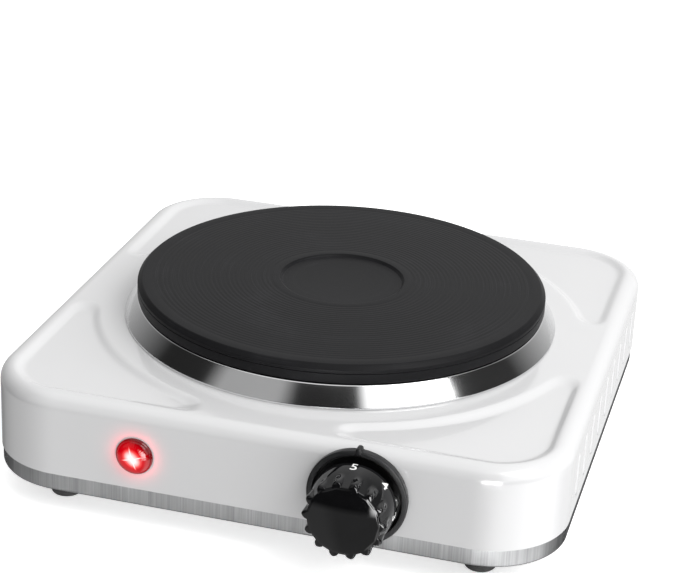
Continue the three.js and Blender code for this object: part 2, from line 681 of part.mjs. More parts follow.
function heatShield() {
  const inner = STUD_RADIUS + HOLE_GAP;
  const bottom = -SHIELD_DROP;
  const profile = [
    [inner, bottom],
    [SHIELD_RADIUS, bottom],
    [SHIELD_RADIUS, bottom + SHIELD_RIM],
    [SHIELD_RADIUS - SHIELD_SHEET, bottom + SHIELD_RIM],
    [SHIELD_RADIUS - SHIELD_SHEET, bottom + SHIELD_SHEET],
    [inner, bottom + SHIELD_SHEET],
  ];
  return turnedZ(profile, ROUND_MEDIUM);
}

function plateTerminal() {
  const top = -SPIGOT_DEPTH + COIL_ABOVE_END - COIL_RADIUS - SEAT_GAP;
  const headBottom = TERMINAL_HEAD_TOP_Z - TERMINAL_HEAD_HEIGHT;
  const profile = [
    [0, TERMINAL_END_Z],
    [TERMINAL_RADIUS, TERMINAL_END_Z],
    [TERMINAL_RADIUS, headBottom],
    [TERMINAL_HEAD_RADIUS, headBottom],
    [TERMINAL_HEAD_RADIUS, TERMINAL_HEAD_TOP_Z],
    [TERMINAL_RADIUS, TERMINAL_HEAD_TOP_Z],
    [TERMINAL_RADIUS, top],
    [0, top],
  ];
  return turnedZ(profile, ROUND_SMALL);
}

function cookingPlate() {
  const group = groupAt(0, 0, TOP_Z);
  piece("trim_ring", trimRing(), "polished", group);
  piece("cast_iron_plate", castPlate(), "castIron", group);
  piece("insulation_outer", insulation(OUTER_CHANNEL), "ceramic", group);
  piece("insulation_inner", insulation(INNER_CHANNEL), "ceramic", group);
  piece("heating_coil_outer", coil(OUTER_CHANNEL), "coil", group);
  piece("heating_coil_inner", coil(INNER_CHANNEL), "coil", group);
  const discInner = STUD_RADIUS + HOLE_GAP;
  piece("mica_disc", disc(discInner, SPIGOT_RADIUS, MICA_TOP_Z - MICA_SHEET, MICA_TOP_Z), "mica", group);
  piece("plate_cover", disc(discInner, SPIGOT_RADIUS, COVER_BOTTOM_Z, COVER_TOP_Z), "aluminised", group);
  const stud = rodZ(STUD_RADIUS, STUD_BOTTOM_Z, STUD_SOCKET_Z - SEAT_GAP, ROUND_SMALL);
  piece("centre_stud", stud, "zinc", group);
  piece("clamp_bridge", clampBridge(), "zinc", group);
  piece("bridge_nut", nut(BRIDGE_NUT_TOP_Z), "zinc", group);
  piece("heat_shield", heatShield(), "aluminised", group);
  piece("shield_nut", nut(SHIELD_NUT_TOP_Z), "zinc", group);
  const block = box(
    -CERAMIC_LENGTH / 2,
    CERAMIC_LENGTH / 2,
    TERMINAL_Y - CERAMIC_WIDTH / 2,
    TERMINAL_Y + CERAMIC_WIDTH / 2,
    CERAMIC_TOP_Z - CERAMIC_HEIGHT,
    CERAMIC_TOP_Z,
  );
  const holes = terminalHoles(TERMINAL_RADIUS + HOLE_GAP, CERAMIC_TOP_Z - CERAMIC_HEIGHT - PAST, CERAMIC_TOP_Z + PAST);
  piece("plate_terminal_block", cut(block, ...holes), "ceramic", group);
  for (const [name, side] of [["plate_terminal_neutral", -1], ["plate_terminal_live", 1]]) {
    piece(name, plateTerminal(), "brass", group).position.set((side * TERMINAL_SPREAD) / 2, TERMINAL_Y, 0);
  }
}

// ---- thermostat, bezel and knob, placed from the wall's outer face on the knob's axis -------------

function bezel() {
  const hole = SPINDLE_RADIUS + 2 * HOLE_GAP;
  const recess = BEZEL_RADIUS - BEZEL_LIP;
  const back = -SEAT_GAP;
  const profile = [
    [hole, back],
    [BEZEL_RADIUS, back],
    [BEZEL_RADIUS, -BEZEL_HEIGHT + BEZEL_EDGE],
    [BEZEL_RADIUS - BEZEL_EDGE, -BEZEL_HEIGHT],
    [recess, -BEZEL_HEIGHT],
    [recess - BEZEL_EDGE, -BEZEL_FLOOR],
    [hole, -BEZEL_FLOOR],
  ];
  const half = POINTER_WIDTH / 2;
  const tip = BEZEL_RADIUS + POINTER_OUT;
  const outline = [[-half, recess], [half, recess], [half, tip - half], [0, tip], [-half, tip - half]];
  const shape = new THREE.Shape(outline.map(([x, z]) => new THREE.Vector2(x, z)));
  const pointer = raised(shape, -back, BEZEL_HEIGHT + SEAT_GAP).rotateX(Math.PI / 2);
  const screwHole = rodY(SCREW_RADIUS + HOLE_GAP, -BEZEL_HEIGHT, PAST, ROUND_SMALL);
  const holes = [-1, 1].map((side) => moved(screwHole, (side * MOUNT_SCREW_SPREAD) / 2, 0, 0));
  return cut(join(turnedY(profile, ROUND_LARGE), pointer), ...holes);
}

// D-shaped rod of the given radius from front to back, flat on its upper side.
function flattedRod(radius, flat, front, back) {
  const above = box(-radius, radius, front - PAST, back + PAST, flat, radius + PAST);
  return cut(rodY(radius, front, back, ROUND_FINE), above);
}

function knob() {
  const back = -SKIRT_BACK;
  const face = -KNOB_DEPTH;
  const hollowEnd = back - KNOB_HOLLOW_DEPTH;
  const hollow = SKIRT_RADIUS - KNOB_WALL;
  const domeStart = back - SKIRT_BAND;
  const domeLength = (domeStart - face - KNOB_EDGE) * DOME_SHARE;
  const profile = [[0, face], [GRIP_RADIUS - KNOB_EDGE, face], [GRIP_RADIUS, face + KNOB_EDGE]];
  for (let i = DOME_STEPS; i >= 0; i--) {
    const angle = (i / DOME_STEPS) * (Math.PI / 2);
    const radius = GRIP_RADIUS + (SKIRT_RADIUS - GRIP_RADIUS) * Math.cos(angle);
    profile.push([radius, domeStart - domeLength * Math.sin(angle)]);
  }
  profile.push(
    [SKIRT_RADIUS, back],
    [hollow, back],
    [GRIP_RADIUS - KNOB_WALL, hollowEnd],
    [KNOB_BOSS_RADIUS, hollowEnd],
    [KNOB_BOSS_RADIUS, back],
    [0, back],
  );
  const body = turnedY(profile, 2 * GRIP_COUNT);
  const rib = rodY(GRIP_RIB_RADIUS, face + GRIP_RIB_SETBACK, face + GRIP_RIB_LENGTH, RIB_SIDES);
  const ribs = [];
  for (let i = 0; i < GRIP_COUNT; i++) {
    const angle = ((i + 0.5) * 2 * Math.PI) / GRIP_COUNT; // a gap, not a rib, lines up with the pointer
    const out = GRIP_RADIUS + GRIP_RIB_OUT;
    ribs.push(moved(rib, out * Math.sin(angle), 0, -out * Math.cos(angle)));
  }
  const boreEnd = -SPINDLE_OUT - SEAT_GAP;
  const clipRoom = CLIP_SHEET + 2 * SEAT_GAP;
  const bore = flattedRod(SPINDLE_RADIUS + RUNNING_GAP, SPINDLE_FLAT + clipRoom, boreEnd, back + PAST);
  return cut(join(body, ...ribs), bore);
}

function spindle() {
  const rod = rodY(SPINDLE_RADIUS, -SPINDLE_OUT, SPINDLE_IN, ROUND_FINE);
  const flatEnd = -SKIRT_BACK + SPINDLE_FLAT_PAST;
  const top = SPINDLE_RADIUS + PAST;
  const flat = box(-SPINDLE_RADIUS, SPINDLE_RADIUS, -SPINDLE_OUT - PAST, flatEnd, SPINDLE_FLAT, top);
  const socketEnd = SPINDLE_IN - PIN_IN_SPINDLE - PIN_TRAVEL - 2 * SEAT_GAP;
  return cut(rod, flat, rodY(PIN_RADIUS + RUNNING_GAP, socketEnd, SPINDLE_IN + PAST, ROUND_SMALL));
}

function springClip() {
  const bottom = SPINDLE_FLAT + SEAT_GAP;
  const front = -SPINDLE_OUT + CLIP_SETBACK;
  return box(-CLIP_WIDTH / 2, CLIP_WIDTH / 2, front, front + CLIP_LENGTH, bottom, bottom + CLIP_SHEET);
}

function thermostatFrame() {
  const armRight = -STACK_FROM_AXIS - STACK_WIDTH - SEAT_GAP;
  const armLeft = armRight - FRAME_SHEET;
  const plateBack = FRAME_Y + FRAME_SHEET;
  const outline = [
    [armLeft, FRAME_Y],
    [FRAME_RIGHT, FRAME_Y],
    [FRAME_RIGHT, plateBack],
    [armRight, plateBack],
    [armRight, STACK_Y + STACK_LENGTH],
    [armLeft, STACK_Y + STACK_LENGTH],
  ];
  const shape = new THREE.Shape(outline.map(([x, y]) => new THREE.Vector2(x, y)));
  const angle = raised(shape, -FRAME_HEIGHT / 2, FRAME_HEIGHT / 2);
  const hole = (x, radius) => moved(rodY(radius, 0, plateBack + PAST, ROUND_SMALL), x, 0, 0);
  const threads = [-1, 1].map((side) => hole((side * MOUNT_SCREW_SPREAD) / 2, SCREW_RADIUS + SEAT_GAP));
  return cut(angle, hole(0, SPINDLE_RADIUS + HOLE_GAP), ...threads);
}

// A contact leaf: a strip from the ceramic stack past the axis, with its contact on the face at contactY.
function contactLeaf(front, back, contactFront, contactBack) {
  const root = -STACK_FROM_AXIS + SEAT_GAP;
  const strip = box(root, LEAF_PAST_AXIS, front, back, -LEAF_WIDTH / 2, LEAF_WIDTH / 2);
  const button = rodY(CONTACT_RADIUS, contactFront, contactBack, ROUND_SMALL);
  return join(strip, moved(button, CONTACT_PAST_AXIS, 0, 0));
}

function thermostat() {
  const group = groupAt(KNOB_X, -HALF, KNOB_Z);
  piece("knob_bezel", bezel(), "bakelite", group);
  piece("control_knob", knob(), "bakelite", group);
  piece("knob_spring_clip", springClip(), "zinc", group);
  piece("thermostat_spindle", spindle(), "brass", group);

  const frameBack = FRAME_Y + FRAME_SHEET;
  const bushFront = frameBack + SEAT_GAP;
  const bush = cut(
    rodY(BUSH_RADIUS, bushFront, SPINDLE_IN, ROUND_FINE),
    rodY(SPINDLE_RADIUS + RUNNING_GAP, bushFront - PAST, SPINDLE_IN + PAST, ROUND_FINE),
  );
  piece("thermostat_bush", bush, "brass", group);
  piece("thermostat_frame", thermostatFrame(), "zinc", group);
  const stackLeft = -STACK_FROM_AXIS - STACK_WIDTH;
  const stack = box(
    stackLeft,
    -STACK_FROM_AXIS,
    STACK_Y,
    STACK_Y + STACK_LENGTH,
    -STACK_HEIGHT / 2,
    STACK_HEIGHT / 2,
  );
  piece("thermostat_stack", stack, "ceramic", group);
  const pin = rodY(PIN_RADIUS, SPINDLE_IN - PIN_IN_SPINDLE, SPINDLE_IN + PIN_OUT, ROUND_SMALL);
  piece("thermostat_pin", pin, "ceramic", group);
  const moving = contactLeaf(LEAF_Y, CONTACT_Y, CONTACT_Y - LEAF_SHEET / 2, CONTACT_Y + CONTACT_HEIGHT);
  piece("moving_contact_leaf", moving, "brass", group);
  const bimetalY = BIMETAL_CONTACT_Y + CONTACT_HEIGHT;
  const bimetal = contactLeaf(
    bimetalY,
    bimetalY + BIMETAL_SHEET,
    BIMETAL_CONTACT_Y,
    bimetalY + BIMETAL_SHEET / 2,
  );
  piece("bimetal_leaf", bimetal, "zinc", group);
  for (const [name, x] of [["thermostat_tab_in", TAB_IN_X], ["thermostat_tab_out", TAB_OUT_X]]) {
    const tab = box(
      x - TAB_SHEET / 2,
      x + TAB_SHEET / 2,
      TAB_Y,
      TAB_Y + TAB_LENGTH,
      -TAB_HEIGHT / 2,
      TAB_HEIGHT / 2,
    );
    piece(name, tab, "brass", group);
  }
  for (const [name, side] of [["mount_screw_left", -1], ["mount_screw_right", 1]]) {
    const fixing = piece(name, screw(MOUNT_SCREW_LENGTH).rotateX(-Math.PI / 2), "zinc", group);
    fixing.position.set((side * MOUNT_SCREW_SPREAD) / 2, -BEZEL_FLOOR - SEAT_GAP, 0);
  }
}

// ---- pilot lamp, placed from the wall's outer face on the lamp's axis -----------------------------

function pilotLamp() {
  const group = groupAt(LAMP_X, -HALF, LAMP_Z);
  const stem = LAMP_TUBE_RADIUS;
  const flange = -SEAT_GAP - LENS_FLANGE;
  const dome = LENS_OUT + flange;
  const lens = [[0, -LENS_OUT]];
  for (let i = 1; i <= LENS_STEPS; i++) {
    const angle = (i / LENS_STEPS) * (Math.PI / 2);
    lens.push([LENS_RADIUS * Math.sin(angle), flange - dome * Math.cos(angle)]);
  }
  lens.push([LENS_RADIUS, -SEAT_GAP], [stem, -SEAT_GAP], [stem, LENS_STEM], [0, LENS_STEM]);
  piece("lamp_lens", turnedY(lens, ROUND_MEDIUM), "lens", group);
  const tubeFront = LENS_STEM + SEAT_GAP;
  const tube = rodY(stem, tubeFront, LAMP_TUBE_LENGTH, ROUND_FINE);
  piece("lamp_body", tube, "nylon", group);
  const ringFront = SHELL_WALL + SEAT_GAP;
  const ringBack = ringFront + CLIP_RING_HEIGHT;
  const bore = stem + SEAT_GAP;
  const ring = [
    [bore, ringFront],
    [CLIP_RING_RADIUS, ringFront],
    [CLIP_RING_RADIUS, ringBack],
    [bore, ringBack],
  ];
  piece("lamp_retaining_ring", turnedY(ring, ROUND_FINE), "zinc", group);
}

// ---- mains gland, terminal block and earth screw -------------------------------------------------

function mainsEntry() {
  const group = groupAt(GLAND_X, HALF, GLAND_Z);
  const neckEnd = -SHELL_WALL - GLAND_IN;
  const gland = [
    [GLAND_BORE_RADIUS, neckEnd],
    [GLAND_NECK_RADIUS, neckEnd],
    [GLAND_NECK_RADIUS, SEAT_GAP],
    [GLAND_FLANGE_RADIUS, SEAT_GAP],
    [GLAND_FLANGE_RADIUS, GLAND_OUT - GLAND_EDGE],
    [GLAND_FLANGE_RADIUS - GLAND_EDGE, GLAND_OUT],
    [GLAND_BORE_RADIUS, GLAND_OUT],
  ];
  piece("mains_gland", turnedY(gland, ROUND_FINE), "nylon", group);
  const nutBack = -SHELL_WALL - SEAT_GAP;
  const ring = turnedY(
    [
      [GLAND_NECK_RADIUS + SEAT_GAP, nutBack - GLAND_NUT_HEIGHT],
      [GLAND_NUT_RADIUS, nutBack - GLAND_NUT_HEIGHT],
      [GLAND_NUT_RADIUS, nutBack],
      [GLAND_NECK_RADIUS + SEAT_GAP, nutBack],
    ],
    ROUND_SMALL,
  );
  piece("gland_nut", ring, "nylon", group);

  const blockZ = PAN_FLOOR + SEAT_GAP;
  const half = BLOCK_LENGTH / 2;
  const block = box(-half, half, -BLOCK_WIDTH / 2, BLOCK_WIDTH / 2, 0, BLOCK_HEIGHT);
  const bore = rodZ(SCREW_RADIUS + HOLE_GAP, -PAST, BLOCK_HEIGHT - BLOCK_ROOF, ROUND_SMALL);
  piece("mains_terminal_block", cut(block, bore), "nylon").position.set(GLAND_X, BLOCK_Y, blockZ);
  const seat = FOOT_HEIGHT - SEAT_GAP;
  piece("terminal_block_screw", screw(BLOCK_HEIGHT - BLOCK_ROOF), "zinc").position.set(GLAND_X, BLOCK_Y, seat);
  const tag = hexagon(SCREW_HEAD_RADIUS, EARTH_TAG_AT, EARTH_TAG_AT + EARTH_TAG_HEIGHT);
  const earthScrew = piece("earth_screw", join(screw(EARTH_SCREW_LENGTH), tag), "brass");
  earthScrew.position.set(GLAND_X + EARTH_SCREW_FROM_BLOCK, BLOCK_Y, seat);
}

// ---- leads --------------------------------------------------------------------------------------

// An insulated lead along a smooth curve through the points.
function lead(name, points, steps, material = "sleeve") {
  const path = new THREE.CatmullRomCurve3(points.map((p) => new THREE.Vector3(...p)), false, "centripetal");
  const section = new THREE.Shape();
  section.absarc(0, 0, LEAD_RADIUS, 0, 2 * Math.PI);
  const options = { steps, extrudePath: path, curveSegments: LEAD_SIDES / 2 };
  piece(name, new THREE.ExtrudeGeometry(section, options), material);
}

function leads() {
  const floor = PAN_FLOOR + LEAD_LIFT + LEAD_RADIUS;
  const overShield = TOP_Z - SHIELD_DROP + SHIELD_RIM + LEAD_RADIUS + 2;
  const besideShield = SHIELD_RADIUS + 6;
  const blockFront = BLOCK_Y - BLOCK_WIDTH / 2 - LEAD_GAP;
  const poleZ = PAN_FLOOR + SEAT_GAP + BLOCK_POLE_HEIGHT;
  const poleX = (n) => GLAND_X + n * BLOCK_POLE_PITCH;
  const tabEnd = -HALF + TAB_Y + TAB_LENGTH + LEAD_GAP;
  const tabIn = KNOB_X + TAB_IN_X;
  const tabOut = KNOB_X + TAB_OUT_X;
  const tabStep = 3; // above and below the middle of a tab
  const studX = TERMINAL_SPREAD / 2 + TERMINAL_RADIUS + LEAD_GAP;
  const studZ = TOP_Z + TERMINAL_END_Z + LEAD_RADIUS + SEAT_GAP;
  const lampEnd = -HALF + LAMP_TUBE_LENGTH + LEAD_GAP;
  const earthX = GLAND_X + EARTH_SCREW_FROM_BLOCK;
  const tagZ = FOOT_HEIGHT - SEAT_GAP + EARTH_TAG_AT + EARTH_TAG_HEIGHT / 2;
  const frontCorner = besideShield - 4;
  const neutralX = -46; // the plate's neutral lead comes over the shield's rim here
  const neutralY = Math.sqrt(SHIELD_RADIUS ** 2 - neutralX ** 2) + 7;

  lead("lead_mains_live", [
    [poleX(-1), blockFront, poleZ],
    [poleX(-1), blockFront - 5, poleZ - 0.5],
    [poleX(-1) + 2, blockFront - 16, floor + 2],
    [-42, 20, floor + 1],
    [-8, -36, floor + 1],
    [tabIn - 3, tabEnd + 20, floor + 3],
    [tabIn, tabEnd + 6, KNOB_Z - tabStep - 1],
    [tabIn, tabEnd, KNOB_Z - tabStep],
  ], 24);
  lead("lead_plate_live", [
    [tabOut, tabEnd, KNOB_Z],
    [tabOut, tabEnd + 5, KNOB_Z],
    [besideShield - 22, -50, overShield + 1],
    [besideShield, -6, overShield],
    [besideShield - 18, 38, overShield],
    [studX + 18, TERMINAL_Y + 5, studZ],
    [studX + 5, TERMINAL_Y, studZ],
    [studX, TERMINAL_Y, studZ],
  ], 24);
  lead("lead_plate_neutral", [
    [poleX(1), blockFront, poleZ],
    [poleX(1), blockFront - 5, poleZ + 0.5],
    [neutralX, neutralY, overShield],
    [-studX - 18, TERMINAL_Y + 5, studZ],
    [-studX - 5, TERMINAL_Y, studZ],
    [-studX, TERMINAL_Y, studZ],
  ], 18);
  lead("lamp_lead_live", [
    [LAMP_X + 3, lampEnd, LAMP_Z],
    [LAMP_X + 3, lampEnd + 5, LAMP_Z],
    [-24, lampEnd + 14, LAMP_Z],
    [tabIn - 9, tabEnd + 14, KNOB_Z + tabStep],
    [tabIn, tabEnd + 5, KNOB_Z + tabStep],
    [tabIn, tabEnd, KNOB_Z + tabStep],
  ], 18);
  lead("lamp_lead_neutral", [
    [LAMP_X - 3, lampEnd, LAMP_Z],
    [LAMP_X - 3, lampEnd + 5, LAMP_Z],
    [-frontCorner, -40, floor + 5],
    [-besideShield, 20, floor + 5],
    [-besideShield + 14, blockFront - 30, floor + 5],
    [poleX(0.2), blockFront - 6, poleZ],
    [poleX(0.2), blockFront, poleZ],
  ], 24);
  lead("earth_lead", [
    [earthX, BLOCK_Y - SCREW_HEAD_RADIUS - LEAD_GAP, tagZ],
    [earthX, BLOCK_Y - SCREW_HEAD_RADIUS - 5, tagZ],
    [earthX - 6, blockFront - 9, floor + 2],
    [poleX(1) + 3.5, blockFront - 7, floor + 1],
    [poleX(1) + 3.5, blockFront, floor + 1],
  ], 12, "earthSleeve");
}

// ---- assembly -----------------------------------------------------------------------------------

piece("housing_shell", housingShell(), "enamel");
piece("base_pan", basePan(), "panSteel");
feet();
cookingPlate();
thermostat();
pilotLamp();
mainsEntry();
leads();
hotPlate.position.y = FRAME_SHIFT_Y;

export default hotPlate;
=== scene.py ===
"""Looks of a single hot plate burner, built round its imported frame.

Every length is in metres and every place comes from the frame. Each operator makes one piece or one group
of like pieces; main() calls them in order.
"""

import json
import math

import bmesh
import bpy
from mathutils import Matrix, Vector


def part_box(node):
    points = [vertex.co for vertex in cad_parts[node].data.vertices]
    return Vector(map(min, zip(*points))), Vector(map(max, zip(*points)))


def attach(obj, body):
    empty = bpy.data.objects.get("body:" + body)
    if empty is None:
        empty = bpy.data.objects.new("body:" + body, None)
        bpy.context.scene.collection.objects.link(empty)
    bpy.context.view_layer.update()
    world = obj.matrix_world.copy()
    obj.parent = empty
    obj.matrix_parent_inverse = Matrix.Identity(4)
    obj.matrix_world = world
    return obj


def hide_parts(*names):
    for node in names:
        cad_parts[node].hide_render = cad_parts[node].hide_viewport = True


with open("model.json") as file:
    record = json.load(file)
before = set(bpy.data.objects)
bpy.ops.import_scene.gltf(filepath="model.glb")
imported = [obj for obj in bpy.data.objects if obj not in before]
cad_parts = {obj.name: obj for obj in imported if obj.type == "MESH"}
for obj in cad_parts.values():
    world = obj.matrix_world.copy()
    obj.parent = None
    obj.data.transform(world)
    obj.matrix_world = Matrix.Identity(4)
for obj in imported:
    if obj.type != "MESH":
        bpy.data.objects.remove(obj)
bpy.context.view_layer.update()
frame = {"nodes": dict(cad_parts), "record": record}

bl_info = {
    "name": "Hot Plate Burner",
    "version": (1, 0, 0),
    "blender": (4, 5, 0),
    "location": "View3D > Sidebar > Hot Plate",
    "description": "Builds the visible pieces of a single hot plate burner round its frame",
    "category": "Add Mesh",
}

MM = 0.001


# ---- places read from the frame ------------------------------------------------------------------


class Span:
    """The box of one node of the frame."""

    def __init__(self, node):
        self.low, self.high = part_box(node)
        self.middle = (self.low + self.high) / 2
        self.size = self.high - self.low


SHELL = Span("housing_shell")
PAN = Span("base_pan")
RING = Span("trim_ring")
PLATE = Span("cast_iron_plate")
KNOB = Span("control_knob")
BEZEL = Span("knob_bezel")
LENS = Span("lamp_lens")
GLAND = Span("mains_gland")
FOOT = Span("foot_front_left")
FOOT_FAR = Span("foot_rear_right")
FOOT_SCREW = Span("foot_screw_front_left")

CENTRE_Y = SHELL.middle.y
HALF = SHELL.size.y / 2
EDGE_Z = SHELL.low.z
TOP_Z = SHELL.high.z
WALL_Y = SHELL.low.y  # outer face of the front wall

# The knob's axis, and distances out from the wall
KNOB_AXIS = Vector((KNOB.middle.x, WALL_Y, BEZEL.low.z + BEZEL.size.x / 2))
KNOB_BACK = WALL_Y - KNOB.high.y
KNOB_FACE = WALL_Y - KNOB.low.y
KNOB_DOME = 1.5 * MM
SKIRT_RADIUS = KNOB.size.x / 2
GRIP_RADIUS = SKIRT_RADIUS - 2.2 * MM
BEZEL_HEIGHT = WALL_Y - BEZEL.low.y
BEZEL_LIP = 2.4 * MM


# ---- settings ------------------------------------------------------------------------------------


class HousingSettings(bpy.types.PropertyGroup):
    enamel: bpy.props.FloatVectorProperty(
        name="Enamel", description="Colour of the enamel", subtype="COLOR", size=3,
        default=(0.64, 0.64, 0.645), min=0, max=1,
    )
    corner_radius: bpy.props.FloatProperty(
        name="Corner Radius", description="Plan radius of the four corners", default=35 * MM, unit="LENGTH"
    )
    edge_radius: bpy.props.FloatProperty(
        name="Edge Radius", description="Radius of the top edge", default=6.2 * MM, unit="LENGTH"
    )
    sheet: bpy.props.FloatProperty(
        name="Sheet", description="Thickness of the enamelled sheet", default=1 * MM, unit="LENGTH"
    )
    panel_depth: bpy.props.FloatProperty(
        name="Panel Depth", description="Depth of the pressed corner panels", default=1.6 * MM, unit="LENGTH"
    )
    panel_margin: bpy.props.FloatProperty(
        name="Panel Margin", description="Side of the housing to a panel", default=7 * MM, unit="LENGTH"
    )
    louvres: bpy.props.IntProperty(name="Louvres", description="Louvres in each side wall", default=9, min=1)
    louvre_pitch: bpy.props.FloatProperty(
        name="Louvre Pitch", description="From one louvre to the next", default=19 * MM, unit="LENGTH"
    )


class PlateSettings(bpy.types.PropertyGroup):
    groove_pitch: bpy.props.FloatProperty(
        name="Groove Pitch", description="From one turned groove to the next", default=2.0 * MM, unit="LENGTH"
    )
    groove_depth: bpy.props.FloatProperty(
        name="Groove Depth", description="Depth of the turned grooves", default=0.07 * MM, unit="LENGTH"
    )
    iron: bpy.props.FloatVectorProperty(
        name="Iron", description="Colour of the coated iron", subtype="COLOR", size=3,
        default=(0.008, 0.008, 0.0088), min=0, max=1,
    )


class KnobSettings(bpy.types.PropertyGroup):
    ribs: bpy.props.IntProperty(name="Ribs", description="Grip ribs round the knob", default=14, min=3)
    rib_radius: bpy.props.FloatProperty(
        name="Rib Radius", description="Radius of a grip rib", default=1.85 * MM, unit="LENGTH"
    )
    number_height: bpy.props.FloatProperty(
        name="Number Height", description="Height of the dial's numbers", default=4.6 * MM, unit="LENGTH"
    )
    moulding: bpy.props.FloatVectorProperty(
        name="Moulding", description="Colour of the moulded plastic", subtype="COLOR", size=3,
        default=(0.0045, 0.0045, 0.005), min=0, max=1,
    )
    dial_turn: bpy.props.FloatProperty(
        name="Dial Turn", description="From one number of the dial to the next", default=math.radians(48),
        unit="ROTATION",
    )


class LampSettings(bpy.types.PropertyGroup):
    glow: bpy.props.FloatVectorProperty(
        name="Glow", description="Colour of the lit lens", subtype="COLOR", size=3,
        default=(0.58, 0.0, 0.006), min=0, max=1,
    )
    power: bpy.props.FloatProperty(
        name="Power", description="Power of the lamp's light on the wall, in watts", default=0.02, min=0
    )


class StageSettings(bpy.types.PropertyGroup):
    floor: bpy.props.FloatVectorProperty(
        name="Floor", description="Colour of the floor", subtype="COLOR", size=3,
        default=(0.95, 0.95, 0.95), min=0, max=1,
    )
    focal: bpy.props.FloatProperty(
        name="Focal Length", description="Focal length of the camera in millimetres", default=107.1, min=10
    )


def settings(name):
    return getattr(bpy.context.scene, name)


# ---- mesh helpers --------------------------------------------------------------------------------


def mesh_object(name, points, faces, smooth=True):
    mesh = bpy.data.meshes.new(name)
    mesh.from_pydata([tuple(p) for p in points], [], faces)
    mesh.validate()
    obj = bpy.data.objects.new(name, mesh)
    bpy.context.scene.collection.objects.link(obj)
    if smooth:
        mesh.shade_smooth()
    return obj


def edit(obj, change):
    """Runs change(bmesh) on an object's mesh."""
    work = bmesh.new()
    work.from_mesh(obj.data)
    change(work)
    work.to_mesh(obj.data)
    work.free()


def weld_and_face_out(obj, distance=0.002 * MM):
    def change(work):
        bmesh.ops.remove_doubles(work, verts=work.verts, dist=distance)
        bmesh.ops.recalc_face_normals(work, faces=work.faces)

    edit(obj, change)


def sharpen(obj, degrees=32):
    """Marks edges sharper than the angle, so that smooth shading stops there."""
    limit = math.radians(degrees)

    def change(work):
        for edge in work.edges:
            edge.smooth = not (len(edge.link_faces) == 2 and edge.calc_face_angle(0) > limit)

    edit(obj, change)


def rounded(profile, corners, steps=5):
    """A profile with arcs in place of the corners whose index is in corners, as index: radius."""
    out = []
    count = len(profile)
    for i, point in enumerate(profile):
        radius = corners.get(i, 0)
        here = Vector(point)
        if not radius or i in (0, count - 1):
            out.append(here)
            continue
        before = (Vector(profile[i - 1]) - here).normalized()
        after = (Vector(profile[i + 1]) - here).normalized()
        half = before.angle(after) / 2
        reach = radius / math.tan(half)
        centre = here + (before + after).normalized() * (radius / math.sin(half))
        start = here + before * reach - centre
        turn = start.angle_signed(here + after * reach - centre)
        for step in range(steps + 1):
            angle = -turn * step / steps
            c, s = math.cos(angle), math.sin(angle)
            out.append(centre + Vector((c * start.x - s * start.y, s * start.x + c * start.y)))
    return out


def turned(name, profile, centre, axis="Z", segments=192):
    """A profile of (radius, height) revolved about Z or Y through centre. It starts and ends on the axis, or
    closes on itself."""
    profile = [Vector(p) for p in profile]
    on_axis = profile[0].x < 1e-9 and profile[-1].x < 1e-9
    points = []
    rows = []
    for p in profile:
        count = 1 if p.x < 1e-9 else segments
        rows.append((len(points), count))
        for k in range(count):
            angle = 2 * math.pi * k / segments
            c, s = p.x * math.cos(angle), p.x * math.sin(angle)
            local = Vector((c, s, p.y)) if axis == "Z" else Vector((s, p.y, c))
            points.append(local + Vector(centre))
    faces = []
    pairs = list(zip(rows, rows[1:]))
    if not on_axis:
        pairs.append((rows[-1], rows[0]))
    for (a, many_a), (b, many_b) in pairs:
        for k in range(segments):
            n = (k + 1) % segments
            if many_a == 1 and many_b == 1:
                continue
            if many_a == 1:
                faces.append((a, b + n, b + k))
            elif many_b == 1:
                faces.append((a + k, a + n, b))
            else:
                faces.append((a + k, a + n, b + n, b + k))
    obj = mesh_object(name, points, faces)
    weld_and_face_out(obj)
    sharpen(obj)
    return obj


def smoothstep(value):
    t = min(max(value, 0.0), 1.0)
    return t * t * (3 - 2 * t)


def smooth_min(a, b, width):
    h = max(width - abs(a - b), 0.0) / width
    return min(a, b) - h * h * width / 4


def apply_modifiers(obj):
    """Turns an object's evaluated shape into its plain mesh and removes its modifiers."""
    view = bpy.context.evaluated_depsgraph_get()
    result = bpy.data.meshes.new_from_object(obj.evaluated_get(view), depsgraph=view)
    obj.modifiers.clear()
    old = obj.data
    obj.data = result
    bpy.data.meshes.remove(old)
    return obj


def cut_with(obj, cutter):
    """Cuts one object's shape out of another, and removes the cutter."""
    modifier = obj.modifiers.new("Cut", "BOOLEAN")
    modifier.operation = "DIFFERENCE"
    modifier.solver = "EXACT"
    modifier.object = cutter
    apply_modifiers(obj)
    bpy.data.objects.remove(cutter)


def joined(name, parts):
    """One object that holds the meshes of all parts."""
    work = bmesh.new()
    for part in parts:
        work.from_mesh(part.data)
    mesh = bpy.data.meshes.new(name)
    work.to_mesh(mesh)
    work.free()
    for material in parts[0].data.materials:
        mesh.materials.append(material)
    obj = bpy.data.objects.new(name, mesh)
    bpy.context.scene.collection.objects.link(obj)
    for part in parts:
        bpy.data.objects.remove(part)
    return obj


def finish_piece(obj, material, body, nodes=()):
    """Gives a piece its material and body, and hides the frame nodes that it stands for."""
    if obj.data.materials:
        obj.data.materials[0] = material
    else:
        obj.data.materials.append(material)
    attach(obj, body)
    if nodes:
        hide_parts(*nodes)


# ---- geometry node trees -------------------------------------------------------------------------


